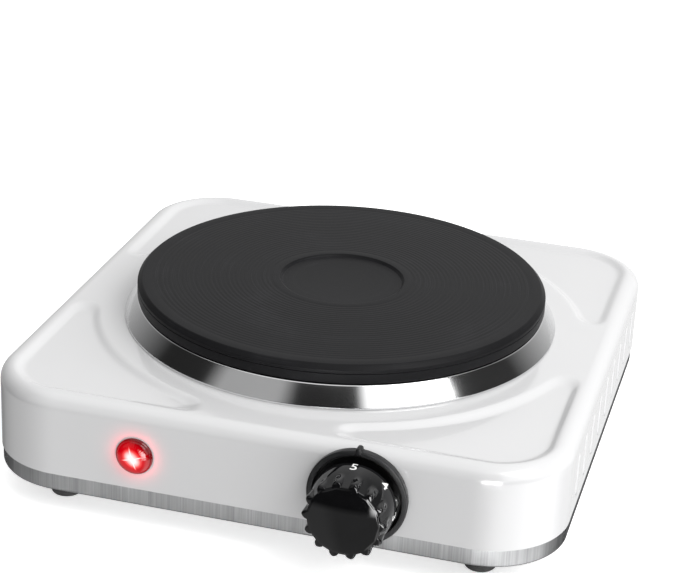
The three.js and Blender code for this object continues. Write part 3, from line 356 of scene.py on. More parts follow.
def new_tree(name, inputs):
    """A geometry tree with a Geometry input and output, and the named inputs with their socket types."""
    tree = bpy.data.node_groups.new(name, "GeometryNodeTree")
    tree.interface.new_socket("Geometry", in_out="INPUT", socket_type="NodeSocketGeometry")
    for label, kind in inputs:
        tree.interface.new_socket(label, in_out="INPUT", socket_type=kind)
    tree.interface.new_socket("Geometry", in_out="OUTPUT", socket_type="NodeSocketGeometry")
    return tree, tree.nodes.new("NodeGroupInput"), tree.nodes.new("NodeGroupOutput")


def end_tree(tree, source, given, sink):
    """Realizes the instances, sets the material and ends the tree."""
    realize = tree.nodes.new("GeometryNodeRealizeInstances")
    paint = tree.nodes.new("GeometryNodeSetMaterial")
    tree.links.new(source, realize.inputs["Geometry"])
    tree.links.new(realize.outputs["Geometry"], paint.inputs["Geometry"])
    tree.links.new(given.outputs["Material"], paint.inputs["Material"])
    tree.links.new(paint.outputs["Geometry"], sink.inputs["Geometry"])


def grid_tree():
    """Repeats the geometry on a grid in XY, centred on its own place."""
    tree, given, sink = new_tree(
        "Repeat on a Grid",
        [
            ("Count X", "NodeSocketInt"),
            ("Count Y", "NodeSocketInt"),
            ("Size X", "NodeSocketFloat"),
            ("Size Y", "NodeSocketFloat"),
            ("Material", "NodeSocketMaterial"),
        ],
    )
    grid = tree.nodes.new("GeometryNodeMeshGrid")
    place = tree.nodes.new("GeometryNodeInstanceOnPoints")
    tree.links.new(given.outputs["Count X"], grid.inputs["Vertices X"])
    tree.links.new(given.outputs["Count Y"], grid.inputs["Vertices Y"])
    tree.links.new(given.outputs["Size X"], grid.inputs["Size X"])
    tree.links.new(given.outputs["Size Y"], grid.inputs["Size Y"])
    tree.links.new(grid.outputs["Mesh"], place.inputs["Points"])
    tree.links.new(given.outputs["Geometry"], place.inputs["Instance"])
    end_tree(tree, place.outputs["Instances"], given, sink)
    return tree


def line_tree():
    """Repeats the geometry along Y, centred on its own place."""
    tree, given, sink = new_tree(
        "Repeat along a Line",
        [("Count", "NodeSocketInt"), ("Pitch", "NodeSocketFloat"), ("Material", "NodeSocketMaterial")],
    )
    step = tree.nodes.new("ShaderNodeCombineXYZ")
    line = tree.nodes.new("GeometryNodeMeshLine")
    less = tree.nodes.new("ShaderNodeMath")
    less.operation = "SUBTRACT"
    less.inputs[1].default_value = 1
    span = tree.nodes.new("ShaderNodeMath")
    span.operation = "MULTIPLY"
    back = tree.nodes.new("ShaderNodeMath")
    back.operation = "MULTIPLY"
    back.inputs[1].default_value = -0.5
    start = tree.nodes.new("ShaderNodeCombineXYZ")
    place = tree.nodes.new("GeometryNodeInstanceOnPoints")
    tree.links.new(given.outputs["Pitch"], step.inputs["Y"])
    tree.links.new(given.outputs["Count"], line.inputs["Count"])
    tree.links.new(step.outputs["Vector"], line.inputs["Offset"])
    tree.links.new(given.outputs["Count"], less.inputs[0])
    tree.links.new(less.outputs["Value"], span.inputs[0])
    tree.links.new(given.outputs["Pitch"], span.inputs[1])
    tree.links.new(span.outputs["Value"], back.inputs[0])
    tree.links.new(back.outputs["Value"], start.inputs["Y"])
    tree.links.new(start.outputs["Vector"], line.inputs["Start Location"])
    tree.links.new(line.outputs["Mesh"], place.inputs["Points"])
    tree.links.new(given.outputs["Geometry"], place.inputs["Instance"])
    end_tree(tree, place.outputs["Instances"], given, sink)
    return tree


def repeat(obj, tree, **values):
    """Repeats an object's mesh with a tree, whose inputs are given by name, and keeps the plain mesh."""
    modifier = obj.modifiers.new(tree.name, "NODES")
    modifier.node_group = tree
    for item in tree.interface.items_tree:
        label = item.name.replace(" ", "_")
        if item.in_out == "INPUT" and label in values:
            modifier[item.identifier] = values[label]
    return apply_modifiers(obj)


# ---- material helpers ----------------------------------------------------------------------------


class Nodes:
    """A shader node tree, with short calls for the nodes used here."""

    def __init__(self, tree, coordinates):
        self.tree = tree
        self.place = tree.nodes.new("ShaderNodeTexCoord").outputs[coordinates]

    def link(self, source, target):
        self.tree.links.new(source, target)

    def mapped(self, scale, turn=(0, 0, 0), shift=(0, 0, 0), source=None):
        node = self.tree.nodes.new("ShaderNodeMapping")
        node.inputs["Scale"].default_value = scale
        node.inputs["Rotation"].default_value = turn
        node.inputs["Location"].default_value = shift
        self.link(source or self.place, node.inputs["Vector"])
        return node.outputs["Vector"]

    def noise(self, scale, detail=3, rough=0.5, vector=None):
        node = self.tree.nodes.new("ShaderNodeTexNoise")
        node.inputs["Scale"].default_value = scale
        node.inputs["Detail"].default_value = detail
        node.inputs["Roughness"].default_value = rough
        self.link(vector or self.place, node.inputs["Vector"])
        return node.outputs["Fac"]

    def voronoi(self, scale):
        node = self.tree.nodes.new("ShaderNodeTexVoronoi")
        node.inputs["Scale"].default_value = scale
        self.link(self.place, node.inputs["Vector"])
        return node.outputs["Distance"]

    def math(self, operation, a, b=0.0):
        node = self.tree.nodes.new("ShaderNodeMath")
        node.operation = operation
        for socket, value in zip(node.inputs, (a, b)):
            if isinstance(value, (int, float)):
                socket.default_value = value
            else:
                self.link(value, socket)
        return node.outputs["Value"]

    def spread(self, source, low, high, from_low=0.0, from_high=1.0):
        """Maps a range of values onto another, clamped."""
        node = self.tree.nodes.new("ShaderNodeMapRange")
        node.inputs["From Min"].default_value = from_low
        node.inputs["From Max"].default_value = from_high
        node.inputs["To Min"].default_value = low
        node.inputs["To Max"].default_value = high
        self.link(source, node.inputs["Value"])
        return node.outputs["Result"]

    def ramp(self, source, stops):
        """Colours between stops of (position, colour)."""
        node = self.tree.nodes.new("ShaderNodeValToRGB")
        elements = node.color_ramp.elements
        while len(elements) < len(stops):
            elements.new(0.5)
        for element, (position, colour) in zip(elements, stops):
            element.position = position
            element.color = (*colour, 1)
        self.link(source, node.inputs["Fac"])
        return node.outputs["Color"]

    def mix(self, factor, a, b):
        node = self.tree.nodes.new("ShaderNodeMix")
        node.data_type = "RGBA"
        for socket, value in ((node.inputs["Factor"], factor), (node.inputs[6], a), (node.inputs[7], b)):
            if isinstance(value, (int, float)):
                socket.default_value = value
            elif isinstance(value, tuple):
                socket.default_value = (*value, 1)
            else:
                self.link(value, socket)
        return node.outputs[2]

    def parts(self, source=None):
        node = self.tree.nodes.new("ShaderNodeSeparateXYZ")
        self.link(source or self.place, node.inputs["Vector"])
        return node.outputs

    def wave(self, vector, scale=260):
        node = self.tree.nodes.new("ShaderNodeTexWave")
        node.inputs["Scale"].default_value = scale
        node.inputs["Distortion"].default_value = 0.6
        self.link(vector, node.inputs["Vector"])
        return node.outputs["Fac"]

    def line(self, source, scale):
        """A texture place that changes only with one value."""
        node = self.tree.nodes.new("ShaderNodeCombineXYZ")
        self.link(self.math("MULTIPLY", source, scale), node.inputs["X"])
        return node.outputs["Vector"]

    def radius(self, centre, axis="Z"):
        """Distance from an axis through centre."""
        local = self.mapped((1, 1, 1), shift=tuple(-c for c in centre))
        flat = self.mapped((1, 1, 0) if axis == "Z" else (1, 0, 1), source=local)
        node = self.tree.nodes.new("ShaderNodeVectorMath")
        node.operation = "LENGTH"
        self.link(flat, node.inputs[0])
        return node.outputs["Value"]


class Shader(Nodes):
    """A material, with short calls for its shader's sockets."""

    def __init__(self, name):
        self.material = bpy.data.materials.new(name)
        self.material.use_nodes = True
        super().__init__(self.material.node_tree, "Object")
        self.base = self.tree.nodes["Principled BSDF"]

    def set(self, **values):
        for label, value in values.items():
            self.base.inputs[label.replace("_", " ")].default_value = value

    def feed(self, source, label):
        self.link(source, self.base.inputs[label])

    def bump(self, height, distance, strength=1.0, before=None):
        node = self.tree.nodes.new("ShaderNodeBump")
        node.inputs["Distance"].default_value = distance
        node.inputs["Strength"].default_value = strength
        self.link(height, node.inputs["Height"])
        if before:
            self.link(before, node.inputs["Normal"])
        self.feed(node.outputs["Normal"], "Normal")
        return node.outputs["Normal"]


def scaled(colour, share):
    return tuple(c * share for c in colour)


def tinted(shader, source, colour, low, high):
    """A base colour that varies between two shares of itself."""
    shader.feed(shader.mix(source, scaled(colour, low), scaled(colour, high)), "Base Color")


# ---- materials -----------------------------------------------------------------------------------


def enamel_material():
    s = Shader("White enamel")
    s.set(Roughness=0.16, Coat_Weight=0.6, Coat_Roughness=0.04, IOR=1.52)
    colour = tuple(settings("hot_plate_housing").enamel)
    cloud = s.noise(22, 4, 0.55)
    specks = s.spread(s.voronoi(900), 0, 1, 0.02, 0.06)
    clean = s.mix(cloud, scaled(colour, 0.975), scaled(colour, 1.01))
    s.feed(s.mix(specks, scaled(colour, 0.8), clean), "Base Color")
    s.feed(s.spread(s.noise(60, 5, 0.6), 0.13, 0.24), "Roughness")
    waves = s.noise(55, 2, 0.4)
    ripple = s.noise(320, 2, 0.5)
    first = s.bump(waves, 0.05 * MM, 0.5)
    s.bump(ripple, 0.004 * MM, 0.5, first)
    return s.material


def pan_material():
    s = Shader("Brushed pan steel")
    # Painted shade: the near-black edge tint darkens the steel's reflections at grazing angles, so the pan's
    # sides show dark as if in shade.
    s.set(Metallic=1.0, Anisotropic=0.35, Specular_Tint=(0.02, 0.02, 0.02, 1))
    grain = s.noise(1, 3, 0.65, s.mapped((1300, 1300, 14)))
    bands = s.noise(1, 3, 0.5, s.mapped((160, 160, 3)))
    both = s.math("ADD", s.math("MULTIPLY", grain, 0.6), s.math("MULTIPLY", bands, 0.4))
    dark, plain, bright = (0.27, 0.272, 0.275), (0.42, 0.423, 0.428), (0.56, 0.565, 0.57)
    s.feed(s.ramp(both, [(0.28, dark), (0.52, plain), (0.74, bright)]), "Base Color")
    s.feed(s.spread(grain, 0.3, 0.5), "Roughness")
    s.bump(grain, 0.02 * MM, 0.4)
    return s.material


def polished_material():
    s = Shader("Polished stainless ring")
    s.set(Metallic=1.0, Anisotropic=0.3)
    distance = s.radius((0, CENTRE_Y, 0))
    lines = s.noise(1, 2, 0.6, s.line(distance, 5200))
    smears = s.noise(38, 4, 0.6)
    s.feed(s.mix(smears, (0.74, 0.745, 0.75), (0.86, 0.86, 0.865)), "Base Color")
    s.feed(s.math("ADD", s.spread(smears, 0.045, 0.11), s.spread(lines, 0, 0.05)), "Roughness")
    first = s.bump(lines, 0.0025 * MM, 0.35)
    s.bump(s.noise(30, 2, 0.5), 0.05 * MM, 0.35, first)
    return s.material


def iron_material():
    s = Shader("Coated cast iron")
    s.set(IOR=1.45, Specular_IOR_Level=0.12)
    colour = tuple(settings("hot_plate_plate").iron)
    distance = s.radius((0, CENTRE_Y, 0))
    grain = s.noise(1500, 3, 0.7)
    patches = s.noise(26, 5, 0.65)
    turning = s.noise(1, 2, 0.5, s.line(distance, 2600))
    worn = s.spread(s.math("ADD", turning, s.math("MULTIPLY", patches, 0.6)), 0, 1, 0.86, 1.02)
    dark = s.mix(patches, scaled(colour, 0.65), scaled(colour, 1.7))
    s.feed(s.mix(worn, dark, scaled(colour, 3)), "Base Color")
    s.feed(s.math("ADD", s.spread(patches, 0.36, 0.52), s.spread(grain, -0.05, 0.07)), "Roughness")
    first = s.bump(grain, 0.03 * MM, 0.35)
    s.bump(turning, 0.012 * MM, 0.5, first)
    return s.material


def moulding_material():
    s = Shader("Black moulding")
    s.set(IOR=1.46)
    colour = tuple(settings("hot_plate_knob").moulding)
    cloud = s.noise(180, 4, 0.6)
    tinted(s, cloud, colour, 0.7, 1.6)
    scratches = s.noise(1, 4, 0.7, s.mapped((260, 1500, 260), turn=(0.3, 0.2, 0.6)))
    s.feed(s.spread(s.math("MULTIPLY", scratches, cloud), 0.03, 0.08, 0.1, 0.5), "Roughness")
    first = s.bump(s.noise(240, 3, 0.5), 0.012 * MM, 0.4)
    s.bump(scratches, 0.003 * MM, 0.4, first)
    return s.material


def bezel_material():
    s = Shader("Black bezel moulding")
    s.set(IOR=1.5)
    colour = tuple(settings("hot_plate_knob").moulding)
    inner = BEZEL.size.x / 2 - BEZEL_LIP
    # Painted shade: inside the lip the bezel's colour drops to 0.4 of the moulding, standing for the shade
    # that falls in the recess.
    painted_recess_shade_mask = s.spread(s.radius(KNOB_AXIS, "Y"), 0, 1, inner, inner + 0.5 * MM)
    face = s.mix(s.noise(140, 4, 0.6), scaled(colour, 1.5), scaled(colour, 2.5))
    s.feed(s.mix(painted_recess_shade_mask, scaled(colour, 0.4), face), "Base Color")
    s.feed(s.spread(s.noise(700, 3, 0.6), 0.34, 0.5), "Roughness")
    s.bump(s.voronoi(2600), 0.02 * MM, 0.35)
    return s.material


def paint_material():
    s = Shader("White dial paint")
    s.set(Roughness=0.4)
    tinted(s, s.noise(900, 4, 0.7), (0.86, 0.86, 0.85), 0.86, 1.05)
    s.bump(s.noise(1800, 2, 0.5), 0.01 * MM, 0.4)
    return s.material


def lens_material():
    """A red lens lit from behind: white hot in the middle, clear red outside, with fine moulded rays and a
    painted star-shaped glint.
    """
    s = Shader("Lit red lens")
    colour = tuple(settings("hot_plate_lamp").glow)
    s.set(Roughness=0.06, IOR=1.49, Emission_Strength=1.0)
    centre = (LENS.middle.x, 0, LENS.middle.z)
    distance = s.math("DIVIDE", s.radius(centre, "Y"), LENS.size.x / 2)
    local = s.parts(s.mapped((1, 1, 1), shift=tuple(-c for c in centre)))
    angle = s.math("ARCTAN2", local["Z"], local["X"])
    rays = s.math("SINE", s.math("MULTIPLY", angle, 36))
    turned_on = s.math("ADD", angle, 0.75)
    oval = s.math("MULTIPLY", s.math("COSINE", s.math("MULTIPLY", turned_on, 2)), 0.07)
    cross = s.math("ABSOLUTE", s.math("COSINE", s.math("MULTIPLY", s.math("ADD", angle, -0.3), 2)))
    # Painted highlight: a thin star-shaped glint across the lens, painted into the glow's colour, not light
    # from the lamp itself.
    painted_star_glint = s.math("MULTIPLY", s.math("POWER", cross, 90), s.spread(distance, 0.24, 0, 0.35, 0.95))
    reach = s.math("SUBTRACT", s.math("SUBTRACT", distance, oval), painted_star_glint)
    reach = s.math("ADD", reach, s.math("MULTIPLY", rays, 0.01))
    s.feed(
        s.ramp(reach, [
            (0.17, (1, 1, 1)), (0.3, (1, 0.62, 0.6)), (0.44, (0.86, 0.09, 0.09)), (0.56, colour),
            (0.8, scaled(colour, 0.78)), (0.97, scaled(colour, 0.22)),
        ]),
        "Emission Color",
    )
    s.feed(s.mix(s.noise(300, 2, 0.5), scaled(colour, 0.04), scaled(colour, 0.1)), "Base Color")
    s.bump(rays, 0.03 * MM, 0.3)
    return s.material


def rubber_material():
    s = Shader("Black rubber")
    s.set(IOR=1.5)
    dust = s.noise(90, 5, 0.65)
    tinted(s, dust, (0.018, 0.018, 0.018), 0.6, 2.2)
    s.feed(s.spread(dust, 0.62, 0.85), "Roughness")
    s.bump(s.noise(1400, 4, 0.6), 0.05 * MM, 0.5)
    return s.material


def metal_material(name, colour, rough, metallic=1.0, crystals=0):
    """Plated or plain metal: a drawn grain, cloudy tarnish and, where asked, crystal facets."""
    s = Shader(name)
    s.set(Metallic=metallic)
    cloud = s.noise(70, 5, 0.6)
    lines = s.noise(1, 3, 0.6, s.mapped((420, 420, 60)))
    if crystals:
        cloud = s.math("MULTIPLY", s.math("ADD", cloud, s.voronoi(crystals)), 0.6)
    tinted(s, cloud, colour, 0.62, 1.15)
    tarnish = s.spread(cloud, rough - 0.06, rough + 0.1)
    s.feed(s.math("ADD", s.spread(lines, -0.06, 0.08), tarnish), "Roughness")
    s.bump(lines, 0.012 * MM, 0.4)
    return s.material


def earthy_material(name, colour, grain, depth=0.05 * MM):
    """Ceramic, pressed filling or mica: matt, with grains and slight staining."""
    s = Shader(name)
    stain = s.noise(60, 5, 0.65)
    pores = s.voronoi(grain)
    tinted(s, s.math("MULTIPLY", stain, s.spread(pores, 0.6, 1.1)), colour, 0.72, 1.08)
    s.feed(s.spread(stain, 0.6, 0.85), "Roughness")
    s.bump(pores, depth, 0.45)
    return s.material


def sleeve_material(name, colour, stripe=None):
    """Woven sleeving, with a second colour spiralling along it where one is given."""
    s = Shader(name)
    s.set(Roughness=0.75, Sheen_Weight=0.25)
    weave = s.math("MULTIPLY", *[
        s.spread(s.wave(vector), 0.35, 1)
        for vector in (s.mapped((1, 1, 1), turn=(0.8, 0.2, 0.8)), s.mapped((1, 1, 1), turn=(-0.8, 0.2, -0.8)))
    ])
    dirt = s.noise(160, 4, 0.6)
    shade = s.math("MULTIPLY", weave, s.spread(dirt, 0.7, 1.1))
    plain = s.mix(shade, scaled(colour, 0.45), scaled(colour, 1.1))
    if stripe:
        bands = s.spread(s.wave(s.mapped((1, 1, 1), turn=(0.6, 0.5, 0.2)), 22), 0, 1, 0.45, 0.55)
        plain = s.mix(bands, plain, stripe)
    s.feed(plain, "Base Color")
    s.bump(weave, 0.12 * MM, 0.5)
    return s.material


def nylon_material():
    s = Shader("Black nylon")
    s.set(IOR=1.5)
    tinted(s, s.noise(120, 5, 0.6), (0.022, 0.022, 0.023), 0.7, 1.7)
    s.feed(s.spread(s.noise(420, 3, 0.5), 0.38, 0.56), "Roughness")
    s.bump(s.noise(1300, 3, 0.6), 0.02 * MM, 0.45)
    return s.material


def floor_material():
    s = Shader("Pale floor")
    s.set(Roughness=0.9, Specular_IOR_Level=0.1, Emission_Color=(1, 1, 1, 1), Emission_Strength=0.55)
    tinted(s, s.noise(3, 3, 0.5), tuple(settings("hot_plate_stage").floor), 0.985, 1.0)
    return s.material


MATERIALS = {}


def material(slot):
    """The material of a slot of the record, made once."""
    makers = {
        "enamel": enamel_material,
        "pan_steel": pan_material,
        "polished_steel": polished_material,
        "cast_iron": iron_material,
        "black_plastic": moulding_material,
        "bezel": bezel_material,
        "dial_paint": paint_material,
        "rubber": rubber_material,
        "red_lens": lens_material,
        "zinc_steel": lambda: metal_material("Zinc plated steel", (0.60, 0.605, 0.60), 0.34, crystals=260),
        "brass": lambda: metal_material("Plain brass", (0.66, 0.47, 0.17), 0.3),
        "resistance_wire": lambda: metal_material("Oxidised coil wire", (0.22, 0.19, 0.17), 0.5, 0.8),
        "aluminised_steel": lambda: metal_material("Aluminised sheet", (0.62, 0.625, 0.63), 0.36, 1.0, 120),
        "ceramic": lambda: earthy_material("Steatite", (0.80, 0.76, 0.67), 1100),
        "refractory": lambda: earthy_material("Pressed magnesia", (0.66, 0.62, 0.54), 700, 0.15 * MM),
        "mica": lambda: earthy_material("Mica sheet", (0.50, 0.41, 0.28), 240),
        "nylon": nylon_material,
        "sleeve": lambda: sleeve_material("Woven sleeving", (0.70, 0.66, 0.56)),
        "earth_sleeve": lambda: sleeve_material("Earth lead", (0.10, 0.32, 0.05), (0.75, 0.68, 0.05)),
    }
    if slot not in MATERIALS:
        MATERIALS[slot] = makers[slot]()
    return MATERIALS[slot]


# ---- housing -------------------------------------------------------------------------------------


def panel_depth(x, y, housing):
    """How deep the pressed corner panels are at a place measured from the housing's middle."""
    slope = 4.6 * MM
    corner = 25 * MM
    tip = 27.5 * MM
    arc = RING.size.x / 2 + 10.5 * MM
    side = HALF - housing.panel_margin
    u, v = abs(x), abs(y)
    flat = side - corner
    if u > flat and v > flat:
        outer = corner - math.hypot(u - flat, v - flat)
    else:
        outer = side - max(u, v)
    inner = math.hypot(u, v) - arc
    ends = min(u, v) - tip
    inside = smooth_min(smooth_min(outer, inner, 9 * MM), ends, 9 * MM)
    return housing.panel_depth * smoothstep(inside / slope)


def rounded_square(half, radius, spots):
    """Points round a rounded square as (x, y), from straight stretches given by spots and corner arcs."""
    flat = half - radius
    arc_steps = 40
    straight = [s for s in spots if -flat < s < flat]
    run = [(half, s) for s in straight]
    for k in range(arc_steps + 1):
        angle = math.pi / 2 * k / arc_steps
        run.append((flat + radius * math.cos(angle), flat + radius * math.sin(angle)))
    points = []
    for turn in range(4):
        c, s = round(math.cos(turn * math.pi / 2)), round(math.sin(turn * math.pi / 2))
        points += [(c * x - s * y, s * x + c * y) for x, y in run]
    return points


def inset_rings(outline, centre, rings):
    """The outline's points at each (inset, height), drawn in towards its corners' own centres."""
    points = []
    for inset, z in rings:
        for x, y in outline:
            cx = min(max(x, -centre), centre)
            cy = min(max(y, -centre), centre)
            away = math.hypot(x - cx, y - cy)
            share = (away - inset) / away
            points.append((cx + (x - cx) * share, cy + (y - cy) * share, z))
    return points


def housing_surface(housing):
    """The housing's outer face as rings of points, from the lower edge to the hole under the plate."""
    fillet = housing.edge_radius
    step = 1.9 * MM
    spots = [step * (k + 0.5) for k in range(-70, 70)]
    fillet_steps = 10
    rings = []
    for z in (EDGE_Z, EDGE_Z + 0.4 * MM, EDGE_Z + 3 * MM, (EDGE_Z + TOP_Z) / 2, TOP_Z - fillet - 3 * MM):
        rings.append((0, z))
    for k in range(fillet_steps + 1):
        angle = math.pi / 2 * k / fillet_steps
        rings.append((fillet * (1 - math.cos(angle)), TOP_Z - fillet * (1 - math.sin(angle))))
    outline = rounded_square(HALF, housing.corner_radius, spots)
    count = len(outline)
    points = inset_rings(outline, HALF - housing.corner_radius, rings)
    rows = [row * count for row in range(len(rings))]
    hole = RING.size.x / 2 - 3 * MM
    rim = points[rows[-1]:]
    inward = 46
    for k in range(1, inward + 1):
        rows.append(len(points))
        for x, y, z in rim:
            reach = math.hypot(x, y)
            share = 1 + (hole / reach - 1) * k / inward
            px, py = x * share, y * share
            points.append((px, py, TOP_Z - panel_depth(px, py, housing)))
    faces = []
    for a, b in zip(rows, rows[1:]):
        for k in range(count):
            n = (k + 1) % count
            faces.append((a + k, a + n, b + n, b + k))
    return [(x, y + CENTRE_Y, z) for x, y, z in points], faces


def rounded_slot(width, length, depth, name):
    """An upright block with round ends in XY, for cutting."""
    steps = 8
    radius = width / 2
    outline = []
    for end in (1, -1):
        for k in range(steps + 1):
            angle = math.pi * k / steps + (0 if end > 0 else math.pi)
            outline.append((radius * math.cos(angle), end * (length / 2 - radius) + radius * math.sin(angle)))
    count = len(outline)
    points = [(x, y, z) for z in (-depth / 2, depth / 2) for x, y in outline]
    faces = [tuple(range(count - 1, -1, -1)), tuple(range(count, 2 * count))]
    faces += [(k, (k + 1) % count, count + (k + 1) % count, count + k) for k in range(count)]
    return mesh_object(name, points, faces, smooth=False)


LOUVRE_HEIGHT = 20 * MM
LOUVRE_WIDTH = 2.8 * MM
LOUVRE_OUT = 0.55 * MM
LOUVRE_Z = EDGE_Z + 15.5 * MM


def louvre_hood():
    """One pressed hood: a thin half dome, open towards +Y, standing out along +X."""
    around, across = 20, 8
    points = []
    for layer in (1.0, 0.72):
        for i in range(around + 1):
            along = -1 + 2 * i / around
            swell = math.sqrt(max(1 - abs(along) ** 4, 0))
            for j in range(across + 1):
                angle = math.pi / 2 * j / across
                x = LOUVRE_OUT * layer * swell * math.sin(angle)
                y = -LOUVRE_WIDTH * (1 - 0.12 * (1 - layer)) * math.cos(angle) * swell
                points.append((x, y, along * LOUVRE_HEIGHT / 2))
    row = across + 1
    layer_size = (around + 1) * row
    faces = []
    for i in range(around):
        for j in range(across):
            a = i * row + j
            faces.append((a, a + 1, a + row + 1, a + row))
            b = a + layer_size
            faces.append((b, b + row, b + row + 1, b + 1))
    for i in range(around):
        for j in (0, across):
            a = i * row + j
            b = a + layer_size
            faces.append((a, a + row, b + row, b))
    for j in range(across):
        for i in (0, around):
            a = i * row + j
            b = a + layer_size
            faces.append((a, b, b + 1, a + 1))
    obj = mesh_object("louvre_hood", points, faces)
    weld_and_face_out(obj, 0.01 * MM)
    return obj


class HOTPLATE_OT_housing(bpy.types.Operator):
    """Make the enamelled housing, with its pressed corner panels and its holes"""

    bl_idname = "hot_plate.housing"
    bl_label = "Housing"

    def execute(self, context):
        housing = settings("hot_plate_housing")
        points, faces = housing_surface(housing)
        shell = mesh_object("enamelled_housing", points, faces)
        weld_and_face_out(shell)
        wall = shell.modifiers.new("Sheet", "SOLIDIFY")
        wall.thickness = housing.sheet
        wall.offset = -1
        apply_modifiers(shell)
        slots = rounded_slot(2.2 * MM, LOUVRE_HEIGHT - 1 * MM, 2 * HALF + 20 * MM, "slots")
        slots.data.transform(Matrix(((0, 0, 1), (1, 0, 0), (0, 1, 0))).to_4x4())
        repeat(slots, line_tree(), Count=housing.louvres, Pitch=housing.louvre_pitch)
        slots.data.transform(Matrix.Translation((0, CENTRE_Y - 0.2 * MM, LOUVRE_Z)))
        holes = [slots]
        for span, radius, y in ((LENS, 6.4 * MM, SHELL.low.y), (KNOB, 3.8 * MM, SHELL.low.y),
                                (GLAND, 7.2 * MM, SHELL.high.y)):
            depth = 3 * MM
            profile = [(0, -depth), (radius, -depth), (radius, depth), (0, depth)]
            holes.append(turned("hole", profile, (span.middle.x, y, span.middle.z), "Y", 32))
        cut_with(shell, joined("cutter", holes))
        shell.data.shade_smooth()
        sharpen(shell, 40)
        finish_piece(shell, material("enamel"), "housing", ["housing_shell"])
        return {"FINISHED"}


class HOTPLATE_OT_louvres(bpy.types.Operator):
    """Make the louvre hoods of both side walls"""

    bl_idname = "hot_plate.louvres"
    bl_label = "Louvres"

    def execute(self, context):
        housing = settings("hot_plate_housing")
        tree = line_tree()
        sides = []
        for side in (1, -1):
            hood = louvre_hood()
            if side < 0:
                hood.data.transform(Matrix.Scale(-1, 4, (1, 0, 0)))
                hood.data.flip_normals()
            repeat(hood, tree, Count=housing.louvres, Pitch=housing.louvre_pitch, Material=material("enamel"))
            hood.data.transform(Matrix.Translation((side * (HALF - 0.02 * MM), CENTRE_Y, LOUVRE_Z)))
            sides.append(hood)
        hoods = joined("side_louvres", sides)
        hoods.data.shade_smooth()
        sharpen(hoods, 50)
        finish_piece(hoods, material("enamel"), "housing")
        return {"FINISHED"}


class HOTPLATE_OT_pan(bpy.types.Operator):
    """Make the base pan, with its rolled lower edge and its air slots"""

    bl_idname = "hot_plate.pan"
    bl_label = "Base Pan"

    def execute(self, context):
        housing = settings("hot_plate_housing")
        half = PAN.size.y / 2
        radius = housing.corner_radius - (HALF - half)
        bend = 1.4 * MM
        step = 6 * MM
        outline = rounded_square(half, radius, [step * (k + 0.5) for k in range(-24, 24)])
        gap = 0.3 * MM
        lap = housing.sheet + gap - (HALF - half)
        step_z = EDGE_Z - gap
        rings = [(lap, PAN.high.z), (lap, step_z), (0, step_z), (0, PAN.low.z + bend)]
        bend_steps = 6
        for k in range(1, bend_steps + 1):
            angle = math.pi / 2 * k / bend_steps
            rings.append((bend * (1 - math.cos(angle)), PAN.low.z + bend * (1 - math.sin(angle))))
        points = [(x, y + CENTRE_Y, z) for x, y, z in inset_rings(outline, half - radius, rings)]
        count = len(outline)
        faces = []
        for row in range(len(rings) - 1):
            for k in range(count):
                n = (k + 1) % count
                a, b = row * count, (row + 1) * count
                faces.append((a + k, b + k, b + n, a + n))
        last = (len(rings) - 1) * count
        faces.append(tuple(range(last, last + count)))
        pan = mesh_object("steel_pan", points, faces)
        weld_and_face_out(pan)
        wall = pan.modifiers.new("Sheet", "SOLIDIFY")
        wall.thickness = housing.sheet
        wall.offset = -1
        apply_modifiers(pan)
        slots = rounded_slot(3.4 * MM, 46 * MM, 6 * MM, "slots")
        repeat(slots, grid_tree(), Count_X=5, Count_Y=2, Size_X=48 * MM, Size_Y=124 * MM)
        slots.data.transform(Matrix.Translation((0, CENTRE_Y, PAN.low.z)))
        cut_with(pan, slots)
        pan.data.shade_smooth()
        sharpen(pan, 35)
        finish_piece(pan, material("pan_steel"), "housing", ["base_pan"])
        return {"FINISHED"}


class HOTPLATE_OT_feet(bpy.types.Operator):
    """Make the four rubber feet"""

    bl_idname = "hot_plate.feet"
    bl_label = "Feet"

    def execute(self, context):
        sole = 6.5 * MM
        top = FOOT.size.x / 2
        height = FOOT.size.z
        bore = 3.9 * MM
        recess = 5 * MM
        profile = [
            (bore, 0), (sole, 0), (top * 0.93, height * 0.55), (top, height), (bore * 0.6, height),
            (bore * 0.6, recess), (bore, recess),
        ]
        corners = {1: 1.6 * MM, 2: 6 * MM, 3: 0.8 * MM, 6: 0.4 * MM}
        foot = turned("rubber_feet", rounded(profile, corners, 6), (0, 0, FOOT.low.z), "Z", 56)
        spread = FOOT_FAR.middle - FOOT.middle
        repeat(foot, grid_tree(), Count_X=2, Count_Y=2, Size_X=spread.x, Size_Y=spread.y,
               Material=material("rubber"))
        foot.data.transform(Matrix.Translation((0, CENTRE_Y, 0)))
        nodes = [name for name in frame["nodes"] if name.startswith("foot_") and "screw" not in name]
        finish_piece(foot, material("rubber"), "housing", nodes)
        return {"FINISHED"}


SCREW_HEAD = 2.2 * MM  # height of a screw's head


def cross_head_screw(name, seat_z, length):
    """A pan-head screw with a cross recess in its lower face."""
    radius, shank, height = 3.4 * MM, 1.9 * MM, SCREW_HEAD
    profile = [(0, -height), (radius * 0.75, -height), (radius, -height * 0.45), (radius, 0), (shank, 0),
               (shank, length), (0, length)]
    screw = turned(name, rounded(profile, {1: 0.7 * MM, 2: 0.5 * MM}, 5), (0, 0, seat_z), "Z", 40)
    arms = []
    for turn in (0, math.pi / 2):
        arm = rounded_slot(0.8 * MM, 4.2 * MM, 2.6 * MM, "arm")
        arm.data.transform(Matrix.Translation((0, 0, seat_z - height)) @ Matrix.Rotation(turn, 4, "Z"))
        arms.append(arm)
    for arm in arms:
        cut_with(screw, arm)
    return screw


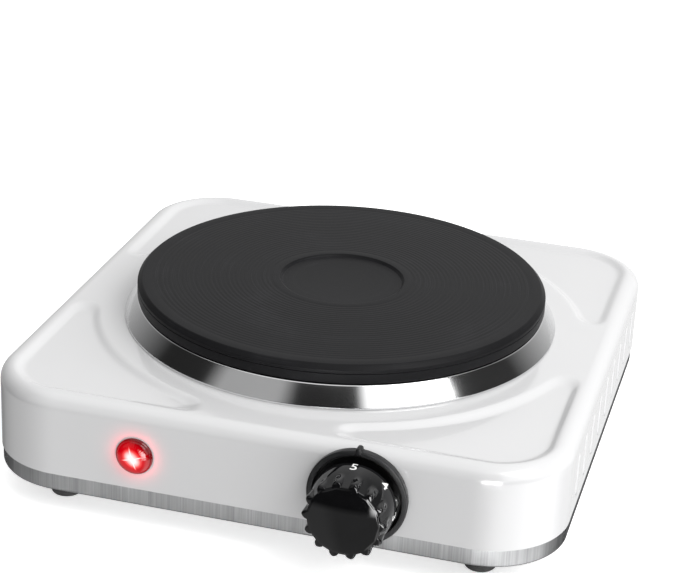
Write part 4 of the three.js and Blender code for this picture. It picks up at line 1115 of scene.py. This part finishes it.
class HOTPLATE_OT_screws(bpy.types.Operator):
    """Make the screws that show from below"""

    bl_idname = "hot_plate.screws"
    bl_label = "Screws"

    def execute(self, context):
        spread = FOOT_FAR.middle - FOOT.middle
        seat = FOOT_SCREW.low.z + SCREW_HEAD
        screw = cross_head_screw("foot_screws", seat, FOOT_SCREW.high.z - seat)
        repeat(screw, grid_tree(), Count_X=2, Count_Y=2, Size_X=spread.x, Size_Y=spread.y,
               Material=material("zinc_steel"))
        screw.data.transform(Matrix.Translation((0, CENTRE_Y, 0)))
        screw.data.shade_smooth()
        sharpen(screw, 35)
        nodes = [name for name in frame["nodes"] if name.startswith("foot_screw_")]
        finish_piece(screw, material("zinc_steel"), "housing", nodes)
        span = Span("terminal_block_screw")
        seat = span.low.z + SCREW_HEAD
        single = cross_head_screw("block_screw", seat, span.high.z - seat)
        single.data.transform(Matrix.Translation((span.middle.x, span.middle.y, 0)))
        single.data.shade_smooth()
        sharpen(single, 35)
        finish_piece(single, material("zinc_steel"), "housing", ["terminal_block_screw"])
        return {"FINISHED"}


# ---- ring and plate ------------------------------------------------------------------------------


class HOTPLATE_OT_ring(bpy.types.Operator):
    """Make the polished ring that carries the plate"""

    bl_idname = "hot_plate.ring"
    bl_label = "Trim Ring"

    def execute(self, context):
        foot = RING.low.z - 0.15 * MM
        ledge = RING.high.z
        outer = RING.size.x / 2
        shoulder = PLATE.size.x / 2
        inner = shoulder - 7 * MM
        sheet = 0.8 * MM
        profile = [
            (outer, foot), (outer, foot + sheet), (shoulder, ledge), (inner, ledge), (inner, ledge - sheet),
            (shoulder - sheet, ledge - sheet), (outer - 2 * sheet, foot),
        ]
        corners = {1: 0.7 * MM, 2: 1.2 * MM, 5: 0.6 * MM}
        ring = turned("polished_ring", rounded(profile, corners, 7), (0, CENTRE_Y, 0), "Z", 256)
        finish_piece(ring, material("polished_steel"), "housing", ["trim_ring"])
        return {"FINISHED"}


class HOTPLATE_OT_plate(bpy.types.Operator):
    """Make the cast iron plate, with its turned grooves and shallow middle"""

    bl_idname = "hot_plate.plate"
    bl_label = "Cast Iron Plate"

    def execute(self, context):
        plate = settings("hot_plate_plate")
        top = PLATE.high.z
        outer = PLATE.size.x / 2
        under = RING.high.z + 0.3 * MM
        spigot = outer - 7.5 * MM
        dish = 27 * MM
        dish_depth = 1.2 * MM
        profile = [(0, top - dish_depth), (dish, top - dish_depth), (dish + dish_depth, top)]
        corners = {1: 0.8 * MM, 2: 0.5 * MM}
        radius = dish + 5 * MM
        ridge = plate.groove_pitch * 0.5
        while radius < outer - 6 * MM:
            profile += [
                (radius, top),
                (radius + ridge * 0.5, top - plate.groove_depth),
                (radius + ridge, top),
            ]
            radius += plate.groove_pitch
        profile.append((outer - 1.9 * MM, top))
        corners[len(profile) - 1] = 0.9 * MM
        profile.append((outer, top - 1.9 * MM))
        corners[len(profile) - 1] = 0.9 * MM
        band = top - 3.6 * MM
        profile += [(outer, band + 0.25 * MM), (outer - 0.35 * MM, band), (outer, band - 0.25 * MM)]
        profile.append((outer, under))
        corners[len(profile) - 1] = 0.7 * MM
        end = PLATE.low.z
        profile += [(spigot, under), (spigot, end), (0, end)]
        iron = turned("iron_plate", rounded(profile, corners, 5), (0, CENTRE_Y, 0), "Z", 224)
        finish_piece(iron, material("cast_iron"), "housing", ["cast_iron_plate"])
        return {"FINISHED"}


# ---- knob and bezel ------------------------------------------------------------------------------


def knob_radius(out):
    """Radius of the knob's body, between its ribs, at a distance out from the wall."""
    dome_start = KNOB_BACK + 2.2 * MM
    dome_end = KNOB_FACE - 1.0 * MM
    share = min(max((out - dome_start) / (dome_end - dome_start), 0), 1)
    return GRIP_RADIUS + (SKIRT_RADIUS - GRIP_RADIUS) * (1 - share ** 1.5)


def rib_lift(out, knob):
    """Height of a grip rib above the body at a distance out from the wall. Ribs fade towards the skirt."""
    fade = smoothstep((out - (KNOB_FACE - 10 * MM)) / (8.5 * MM))
    nose = max(out - (KNOB_FACE - KNOB_DOME - 1.1 * MM), 0) / (1.1 * MM)
    return knob.rib_radius * fade * math.sqrt(max(1 - nose * nose, 0))


def knob_surface(knob):
    """The knob's outer face, as rings of points about its axis."""
    per_rib = 28
    around = knob.ribs * per_rib
    edge = 0.55 * MM
    rim = KNOB_FACE - KNOB_DOME
    outs = [KNOB_BACK, KNOB_BACK + 0.25 * MM, KNOB_BACK + 0.6 * MM]
    steps = 56
    outs += [outs[-1] + (rim - edge - outs[-1]) * i / steps for i in range(1, steps + 1)]
    edge_steps = 7
    outs += [rim - edge + edge * math.sin(math.pi / 2 * i / edge_steps) for i in range(1, edge_steps + 1)]
    points = []
    half = math.pi / knob.ribs  # the first rib stands half a pitch from the top
    for out in outs:
        past = max(out - (rim - edge), 0) / edge
        taken = edge * (1 - math.sqrt(max(1 - past * past, 0))) + max(KNOB_BACK + 0.6 * MM - out, 0) * 0.6
        flats = smoothstep((out - (KNOB_FACE - 12 * MM)) / (9 * MM))
        lift = rib_lift(out, knob)
        for k in range(around):
            angle = 2 * math.pi * k / around + half
            from_rib = (k % per_rib) / per_rib * 2 * half
            flat = math.cos(half) / math.cos(from_rib - half)
            base = knob_radius(out) * (1 + (flat - 1) * flats)
            across = min(from_rib, 2 * half - from_rib) * base / knob.rib_radius
            crest = lift * math.sqrt(1 - across * across) if across < 1 else 0
            reach = max(base, base + crest) - taken
            points.append((reach * math.sin(angle), out, reach * math.cos(angle)))
    rows = len(outs)
    faces = []
    for row in range(rows - 1):
        for k in range(around):
            n = (k + 1) % around
            a, b = row * around, (row + 1) * around
            faces.append((a + k, b + k, b + n, a + n))
    start = (rows - 1) * around
    previous = start
    for share in (0.985, 0.95, 0.9, 0.84, 0.76, 0.66, 0.54, 0.4, 0.24, 0.1):
        begin = len(points)
        blend = smoothstep((1 - share) / 0.24)
        for k in range(around):
            x, out, z = points[start + k]
            edge_reach = math.hypot(x, z)
            even = edge_reach + (GRIP_RADIUS * 0.96 - edge_reach) * blend
            reach = even * share
            bulge = KNOB_DOME * max(1 - (reach / GRIP_RADIUS) ** 2, 0)
            points.append((x * reach / edge_reach, rim + bulge, z * reach / edge_reach))
        for k in range(around):
            n = (k + 1) % around
            faces.append((previous + k, begin + k, begin + n, previous + n))
        previous = begin
    tip = len(points)
    points.append((0, KNOB_FACE, 0))
    faces += [(previous + k, tip, previous + (k + 1) % around) for k in range(around)]
    return points, faces, around


class HOTPLATE_OT_knob(bpy.types.Operator):
    """Make the control knob, with its grip ribs"""

    bl_idname = "hot_plate.knob"
    bl_label = "Control Knob"

    def execute(self, context):
        knob = settings("hot_plate_knob")
        points, faces, around = knob_surface(knob)
        back = KNOB_BACK
        wall = 2.2 * MM
        ceiling = back + 11 * MM
        hub, bore = 6 * MM, 3.1 * MM
        hollow = [(SKIRT_RADIUS - wall, back), (GRIP_RADIUS - wall, ceiling), (hub, ceiling), (hub, back),
                  (bore, back), (bore, ceiling - 0.5 * MM)]
        start = 0
        for radius, out in hollow:
            begin = len(points)
            for k in range(around):
                angle = 2 * math.pi * k / around + math.pi / knob.ribs
                points.append((radius * math.sin(angle), out, radius * math.cos(angle)))
            faces += [(start + k, start + (k + 1) % around, begin + (k + 1) % around, begin + k)
                      for k in range(around)]
            start = begin
        faces.append(tuple(range(start, start + around)))
        centre = KNOB_AXIS
        placed = [(x + centre.x, centre.y - out, z + centre.z) for x, out, z in points]
        obj = mesh_object("grip_knob", placed, faces)
        weld_and_face_out(obj)
        sharpen(obj, 42)
        finish_piece(obj, material("black_plastic"), "knob", ["control_knob"])
        return {"FINISHED"}


def thin_text(label, size, thickness):
    """A raised character in XY, cut into narrow strips so that it can bend round the knob."""
    curve = bpy.data.curves.new("number", "FONT")
    curve.body = label
    curve.align_x = "CENTER"
    curve.size = size
    curve.offset = 0.05 * MM
    curve.extrude = thickness / 2
    curve.resolution_u = 5
    holder = bpy.data.objects.new("number", curve)
    bpy.context.scene.collection.objects.link(holder)
    bpy.context.view_layer.update()
    view = bpy.context.evaluated_depsgraph_get()
    mesh = bpy.data.meshes.new_from_object(holder.evaluated_get(view), depsgraph=view)
    bpy.data.objects.remove(holder)
    text = bpy.data.objects.new("number", mesh)
    bpy.context.scene.collection.objects.link(text)

    def strips(work):
        bmesh.ops.remove_doubles(work, verts=work.verts, dist=0.001 * MM)
        step = 0.3 * MM
        for k in range(-9, 10):
            geometry = work.verts[:] + work.edges[:] + work.faces[:]
            bmesh.ops.bisect_plane(work, geom=geometry, plane_co=(k * step, 0, 0), plane_no=(1, 0, 0))
        bmesh.ops.triangulate(work, faces=work.faces)

    edit(text, strips)
    return text


class HOTPLATE_OT_numbers(bpy.types.Operator):
    """Print the dial's numbers round the knob's skirt"""

    bl_idname = "hot_plate.numbers"
    bl_label = "Dial Numbers"

    def execute(self, context):
        knob = settings("hot_plate_knob")
        paint = 0.05 * MM
        parts = []
        for place, label in enumerate(("5", "4", "3", "2", "1", "0")):
            digit = thin_text(label, knob.number_height * 1.4, paint)
            turn = place * knob.dial_turn
            for vertex in digit.data.vertices:
                out = KNOB_BACK + 0.9 * MM + (knob.number_height - vertex.co.y)
                radius = knob_radius(out) + vertex.co.z + paint / 2
                angle = turn + vertex.co.x / radius
                vertex.co = KNOB_AXIS + Vector((radius * math.sin(angle), -out, radius * math.cos(angle)))
            parts.append(digit)
        numbers = joined("dial_numbers", parts)
        weld_and_face_out(numbers, 0.001 * MM)
        finish_piece(numbers, material("dial_paint"), "knob")
        return {"FINISHED"}


class HOTPLATE_OT_bezel(bpy.types.Operator):
    """Make the bezel cup behind the knob, with its pointer"""

    bl_idname = "hot_plate.bezel"
    bl_label = "Knob Bezel"

    def execute(self, context):
        radius = BEZEL.size.x / 2
        rim = BEZEL_LIP
        height = BEZEL_HEIGHT
        floor = 1.8 * MM
        bore = 3.8 * MM
        profile = [
            (bore, -0.3 * MM), (radius - 0.4 * MM, -0.3 * MM), (radius, -height), (radius - rim, -height),
            (radius - rim - 0.6 * MM, -floor), (bore, -floor),
        ]
        corners = {1: 0.3 * MM, 2: 0.5 * MM, 3: 0.35 * MM, 4: 0.8 * MM}
        cup = turned("bezel_cup", rounded(profile, corners, 6), KNOB_AXIS, "Y", 192)
        half_width = 1.3 * MM
        crest = radius + 1.4 * MM
        low = crest - 3.4 * MM
        bend = 6
        outline = [(-half_width, low), (half_width, low)]
        for k in range(bend + 1):
            angle = math.pi * k / bend
            outline.append((half_width * math.cos(angle), crest - half_width * (1 - math.sin(angle))))
        count = len(outline)
        layers = (-0.6 * MM, -height - 0.3 * MM)
        points = [(x, y, z) for y in layers for x, z in outline]
        faces = [tuple(range(count)), tuple(range(2 * count - 1, count - 1, -1))]
        faces += [(k, (k + 1) % count, count + (k + 1) % count, count + k) for k in range(count)]
        pointer = mesh_object("pointer", [Vector(p) + KNOB_AXIS for p in points], faces)
        weld_and_face_out(pointer)
        soften = pointer.modifiers.new("Soften", "BEVEL")
        soften.width = 0.3 * MM
        soften.segments = 3
        apply_modifiers(pointer)
        pointer.data.shade_smooth()
        bezel = joined("bezel_cup_with_pointer", [cup, pointer])
        sharpen(bezel, 34)
        finish_piece(bezel, material("bezel"), "housing", ["knob_bezel"])
        return {"FINISHED"}


# ---- lamp and gland ------------------------------------------------------------------------------


class HOTPLATE_OT_lamp(bpy.types.Operator):
    """Make the pilot lamp's lens, and the light that it throws on the wall"""

    bl_idname = "hot_plate.lamp"
    bl_label = "Pilot Lamp"

    def execute(self, context):
        radius = LENS.size.x / 2
        front = WALL_Y - LENS.low.y
        flange = 1.3 * MM
        seat = 0.1 * MM
        profile = [(0, -front)]
        steps = 14
        shoulder = radius - 0.7 * MM
        for k in range(1, steps + 1):
            angle = math.pi / 2 * k / steps
            profile.append((shoulder * math.sin(angle), -flange - (front - flange) * math.cos(angle)))
        profile += [(radius - 0.35 * MM, -flange), (radius, -flange + 0.4 * MM), (radius, -seat),
                    (6 * MM, -seat), (6 * MM, 4 * MM), (0, 4 * MM)]
        lens = turned("pilot_lens", profile, (LENS.middle.x, WALL_Y, LENS.middle.z), "Y", 96)
        finish_piece(lens, material("red_lens"), "housing", ["lamp_lens"])
        ahead = 7 * MM  # how far the glow's light stands in front of the lens
        glow = bpy.data.lights.new("Lamp Glow", "SPOT")
        glow.energy = settings("hot_plate_lamp").power
        glow.color = (1, 0.05, 0.08)
        glow.shadow_soft_size = 3 * MM
        glow.spot_size = math.radians(115)
        glow.spot_blend = 1.0
        holder = bpy.data.objects.new("Lamp Glow", glow)
        holder.location = (LENS.middle.x, LENS.low.y - ahead, LENS.middle.z)
        holder.rotation_euler = (math.radians(90), 0, 0)
        holder.visible_glossy = False
        bpy.context.scene.collection.objects.link(holder)
        return {"FINISHED"}


class HOTPLATE_OT_gland(bpy.types.Operator):
    """Make the mains gland in the rear wall"""

    bl_idname = "hot_plate.gland"
    bl_label = "Mains Gland"

    def execute(self, context):
        wall = SHELL.high.y
        inside = GLAND.low.y - wall
        out = GLAND.high.y - wall
        bore, neck, flange = 4.3 * MM, 6.8 * MM, GLAND.size.x / 2
        profile = [
            (bore, inside), (neck, inside), (neck, 0.15 * MM), (flange, 0.15 * MM), (flange - 0.3 * MM, out),
            (bore + 0.8 * MM, out), (bore, out - 1.2 * MM),
        ]
        corners = {3: 0.3 * MM, 4: 1.1 * MM, 5: 0.7 * MM}
        centre = (GLAND.middle.x, wall, GLAND.middle.z)
        gland = turned("cord_gland", rounded(profile, corners, 5), centre, "Y", 96)
        finish_piece(gland, material("nylon"), "housing", ["mains_gland"])
        return {"FINISHED"}


# ---- inside pieces -------------------------------------------------------------------------------


class HOTPLATE_OT_inside(bpy.types.Operator):
    """Give the pieces inside the housing their materials"""

    bl_idname = "hot_plate.inside"
    bl_label = "Inside Pieces"

    def execute(self, context):
        for part in frame["record"]["subparts"]:
            obj = frame["nodes"][part["node"]]
            obj.data.materials.clear()
            obj.data.materials.append(material(part["material_slot"]))
        return {"FINISHED"}


# ---- stage ---------------------------------------------------------------------------------------


def add_light(name, place, target, size, power):
    """A square softbox that faces its target."""
    lamp = bpy.data.lights.new(name, "AREA")
    lamp.size = size
    lamp.energy = power
    obj = bpy.data.objects.new(name, lamp)
    bpy.context.scene.collection.objects.link(obj)
    obj.location = place
    obj.rotation_euler = (Vector(target) - Vector(place)).to_track_quat("-Z", "Y").to_euler()


# What shiny surfaces see. Turns are degrees to the right of straight ahead, and levels are brightness.
DARK = 0.02
GREY_CARD, GREY_LEVEL = (-56, -13.5), 0.4
WHITE_CARD, WHITE_LEVEL = (29.5, 81), 1.4
WINDOW, WINDOW_LEVEL = (3.5, 27), 14
BACK_LEVEL = 0.9  # straight behind, fading to the dark on either side
BACK_LEFT, BACK_RIGHT = -88, 118
CEILING_LEVEL = 0.9
LOW_CARD, LOW_CARD_LEVEL = (21, 112), 1.5  # near the floor, at the right
LOW_LEFT, LOW_MIDDLE = 0.57, 0.38

# What lights the burner: one even level that leans to the right and the back
SOFT_LEVEL = 1.07
SOFT_LEAN = (0.86, 0.22, -0.05)


def card(n, turn, edges, level, soft):
    """The brightness of a card between two turns, with soft edges."""
    left = n.spread(turn, 0, 1, edges[0] - soft, edges[0] + soft)
    right = n.spread(turn, level, 0, edges[1] - soft, edges[1] + soft)
    return n.math("MULTIPLY", left, right)


def added(n, first, *others):
    total = first
    for other in others:
        total = n.math("ADD", total, other)
    return total


def studio_world():
    """Separate surroundings for soft light, for shiny surfaces and for the plain white background."""
    world = bpy.data.worlds.new("Studio")
    world.use_nodes = True
    n = Nodes(world.node_tree, "Generated")
    side = n.parts()
    ahead = n.math("MULTIPLY", side["Y"], -1)
    turn = n.math("MULTIPLY", n.math("ARCTAN2", side["X"], ahead), 180 / math.pi)
    away = n.math("ABSOLUTE", turn)
    rise = n.math("MULTIPLY", n.math("ARCSINE", side["Z"]), 180 / math.pi)
    back = n.math(
        "ADD", n.spread(turn, BACK_LEVEL, 0, -180, BACK_LEFT), n.spread(turn, 0, BACK_LEVEL, BACK_RIGHT, 180)
    )
    grey = card(n, turn, GREY_CARD, GREY_LEVEL, 5)
    white = card(n, turn, WHITE_CARD, WHITE_LEVEL, 3)
    cards = added(n, back, grey, white, DARK)
    room = n.math("ADD", card(n, turn, WINDOW, WINDOW_LEVEL, 1.5), DARK)
    beside = n.mix(n.spread(away, 0, 1, 95, 110), room, cards)
    lower = n.math("ADD", n.spread(turn, LOW_LEFT, LOW_MIDDLE, -26, -18),
                   card(n, turn, LOW_CARD, LOW_CARD_LEVEL, 11))
    ground = n.math("ADD", n.math("MULTIPLY", lower, n.spread(away, 1, 0, 90, 140)), DARK)
    low_front = n.mix(n.spread(rise, 1, 0, -24, -20), beside, ground)
    low_back = n.mix(n.spread(rise, 1, 0, -33, -30), beside, ground)
    low = n.mix(n.spread(away, 0, 1, 130, 145), low_front, low_back)
    middle = n.mix(n.spread(rise, 0, 1, -2, 2), low, cards)
    shiny = n.mix(n.spread(rise, 0, 1, 46, 60), middle, (CEILING_LEVEL, CEILING_LEVEL, CEILING_LEVEL))
    leaning = [n.math("MULTIPLY", side[axis], share) for axis, share in zip("XYZ", SOFT_LEAN)]
    soft = added(n, *leaning, SOFT_LEVEL)
    paths = n.tree.nodes.new("ShaderNodeLightPath").outputs
    lit = n.mix(paths["Is Glossy Ray"], soft, shiny)
    background = n.tree.nodes["Background"]
    n.link(n.mix(paths["Is Camera Ray"], lit, (1, 1, 1)), background.inputs["Color"])
    return world


def add_camera(focal):
    """The camera, at its place in front of and above the burner, looking down at it."""
    place = Vector((0.2121, -0.8003, 0.4328))
    heading, pitch, roll = 0.2569, 0.4101, 0.0462
    flat = math.cos(pitch)
    ahead = Vector((-math.sin(heading) * flat, math.cos(heading) * flat, -math.sin(pitch)))
    level = Vector((math.cos(heading), math.sin(heading), 0))
    up = level.cross(ahead)
    right = math.cos(roll) * level + math.sin(roll) * up
    upright = math.cos(roll) * up - math.sin(roll) * level
    camera = bpy.data.cameras.new("Camera")
    camera.lens = focal
    camera.sensor_width = 36
    obj = bpy.data.objects.new("Camera", camera)
    bpy.context.scene.collection.objects.link(obj)
    obj.matrix_world = Matrix.Translation(place) @ Matrix((right, upright, -ahead)).transposed().to_4x4()
    bpy.context.scene.camera = obj


class HOTPLATE_OT_stage(bpy.types.Operator):
    """Make the floor, the light, the world and the camera"""

    bl_idname = "hot_plate.stage"
    bl_label = "Stage"

    def execute(self, context):
        stage = settings("hot_plate_stage")
        reach = 6.0
        corners = [(-reach, -reach, 0), (reach, -reach, 0), (reach, reach, 0), (-reach, reach, 0)]
        floor = mesh_object("floor", corners, [(0, 1, 2, 3)])
        floor.data.materials.append(floor_material())
        floor.visible_glossy = False
        floor.visible_diffuse = False
        target = (0, 0, 0.05)
        add_light("Key", (0.9, -0.5, 1.1), target, 0.8, 9)
        bpy.context.scene.world = studio_world()
        add_camera(stage.focal)
        view = bpy.context.scene.view_settings
        view.view_transform = "Standard"
        return {"FINISHED"}


# ---- panel and registration ----------------------------------------------------------------------

OPERATORS = (
    HOTPLATE_OT_stage,
    HOTPLATE_OT_inside,
    HOTPLATE_OT_housing,
    HOTPLATE_OT_louvres,
    HOTPLATE_OT_pan,
    HOTPLATE_OT_feet,
    HOTPLATE_OT_screws,
    HOTPLATE_OT_ring,
    HOTPLATE_OT_plate,
    HOTPLATE_OT_bezel,
    HOTPLATE_OT_knob,
    HOTPLATE_OT_numbers,
    HOTPLATE_OT_lamp,
    HOTPLATE_OT_gland,
)
SETTINGS = {
    "hot_plate_housing": HousingSettings,
    "hot_plate_plate": PlateSettings,
    "hot_plate_knob": KnobSettings,
    "hot_plate_lamp": LampSettings,
    "hot_plate_stage": StageSettings,
}


class HOTPLATE_PT_sidebar(bpy.types.Panel):
    """Lists the burner's operators and settings"""

    bl_idname = "HOTPLATE_PT_sidebar"
    bl_label = "Hot Plate Burner"
    bl_space_type = "VIEW_3D"
    bl_region_type = "UI"
    bl_category = "Hot Plate"

    def draw(self, context):
        for name, group in SETTINGS.items():
            column = self.layout.column(align=True)
            for label in group.__annotations__:
                column.prop(getattr(context.scene, name), label)
        column = self.layout.column(align=True)
        for operator in OPERATORS:
            column.operator(operator.bl_idname)


def register():
    for group in (*SETTINGS.values(), *OPERATORS, HOTPLATE_PT_sidebar):
        bpy.utils.register_class(group)
    for name, group in SETTINGS.items():
        setattr(bpy.types.Scene, name, bpy.props.PointerProperty(type=group))


def unregister():
    for name in SETTINGS:
        delattr(bpy.types.Scene, name)
    for group in (HOTPLATE_PT_sidebar, *reversed(OPERATORS), *SETTINGS.values()):
        bpy.utils.unregister_class(group)


def main():
    register()
    for operator in OPERATORS:
        _, call = operator.bl_idname.split(".")
        getattr(bpy.ops.hot_plate, call)()


if __name__ == "__main__":
    main()
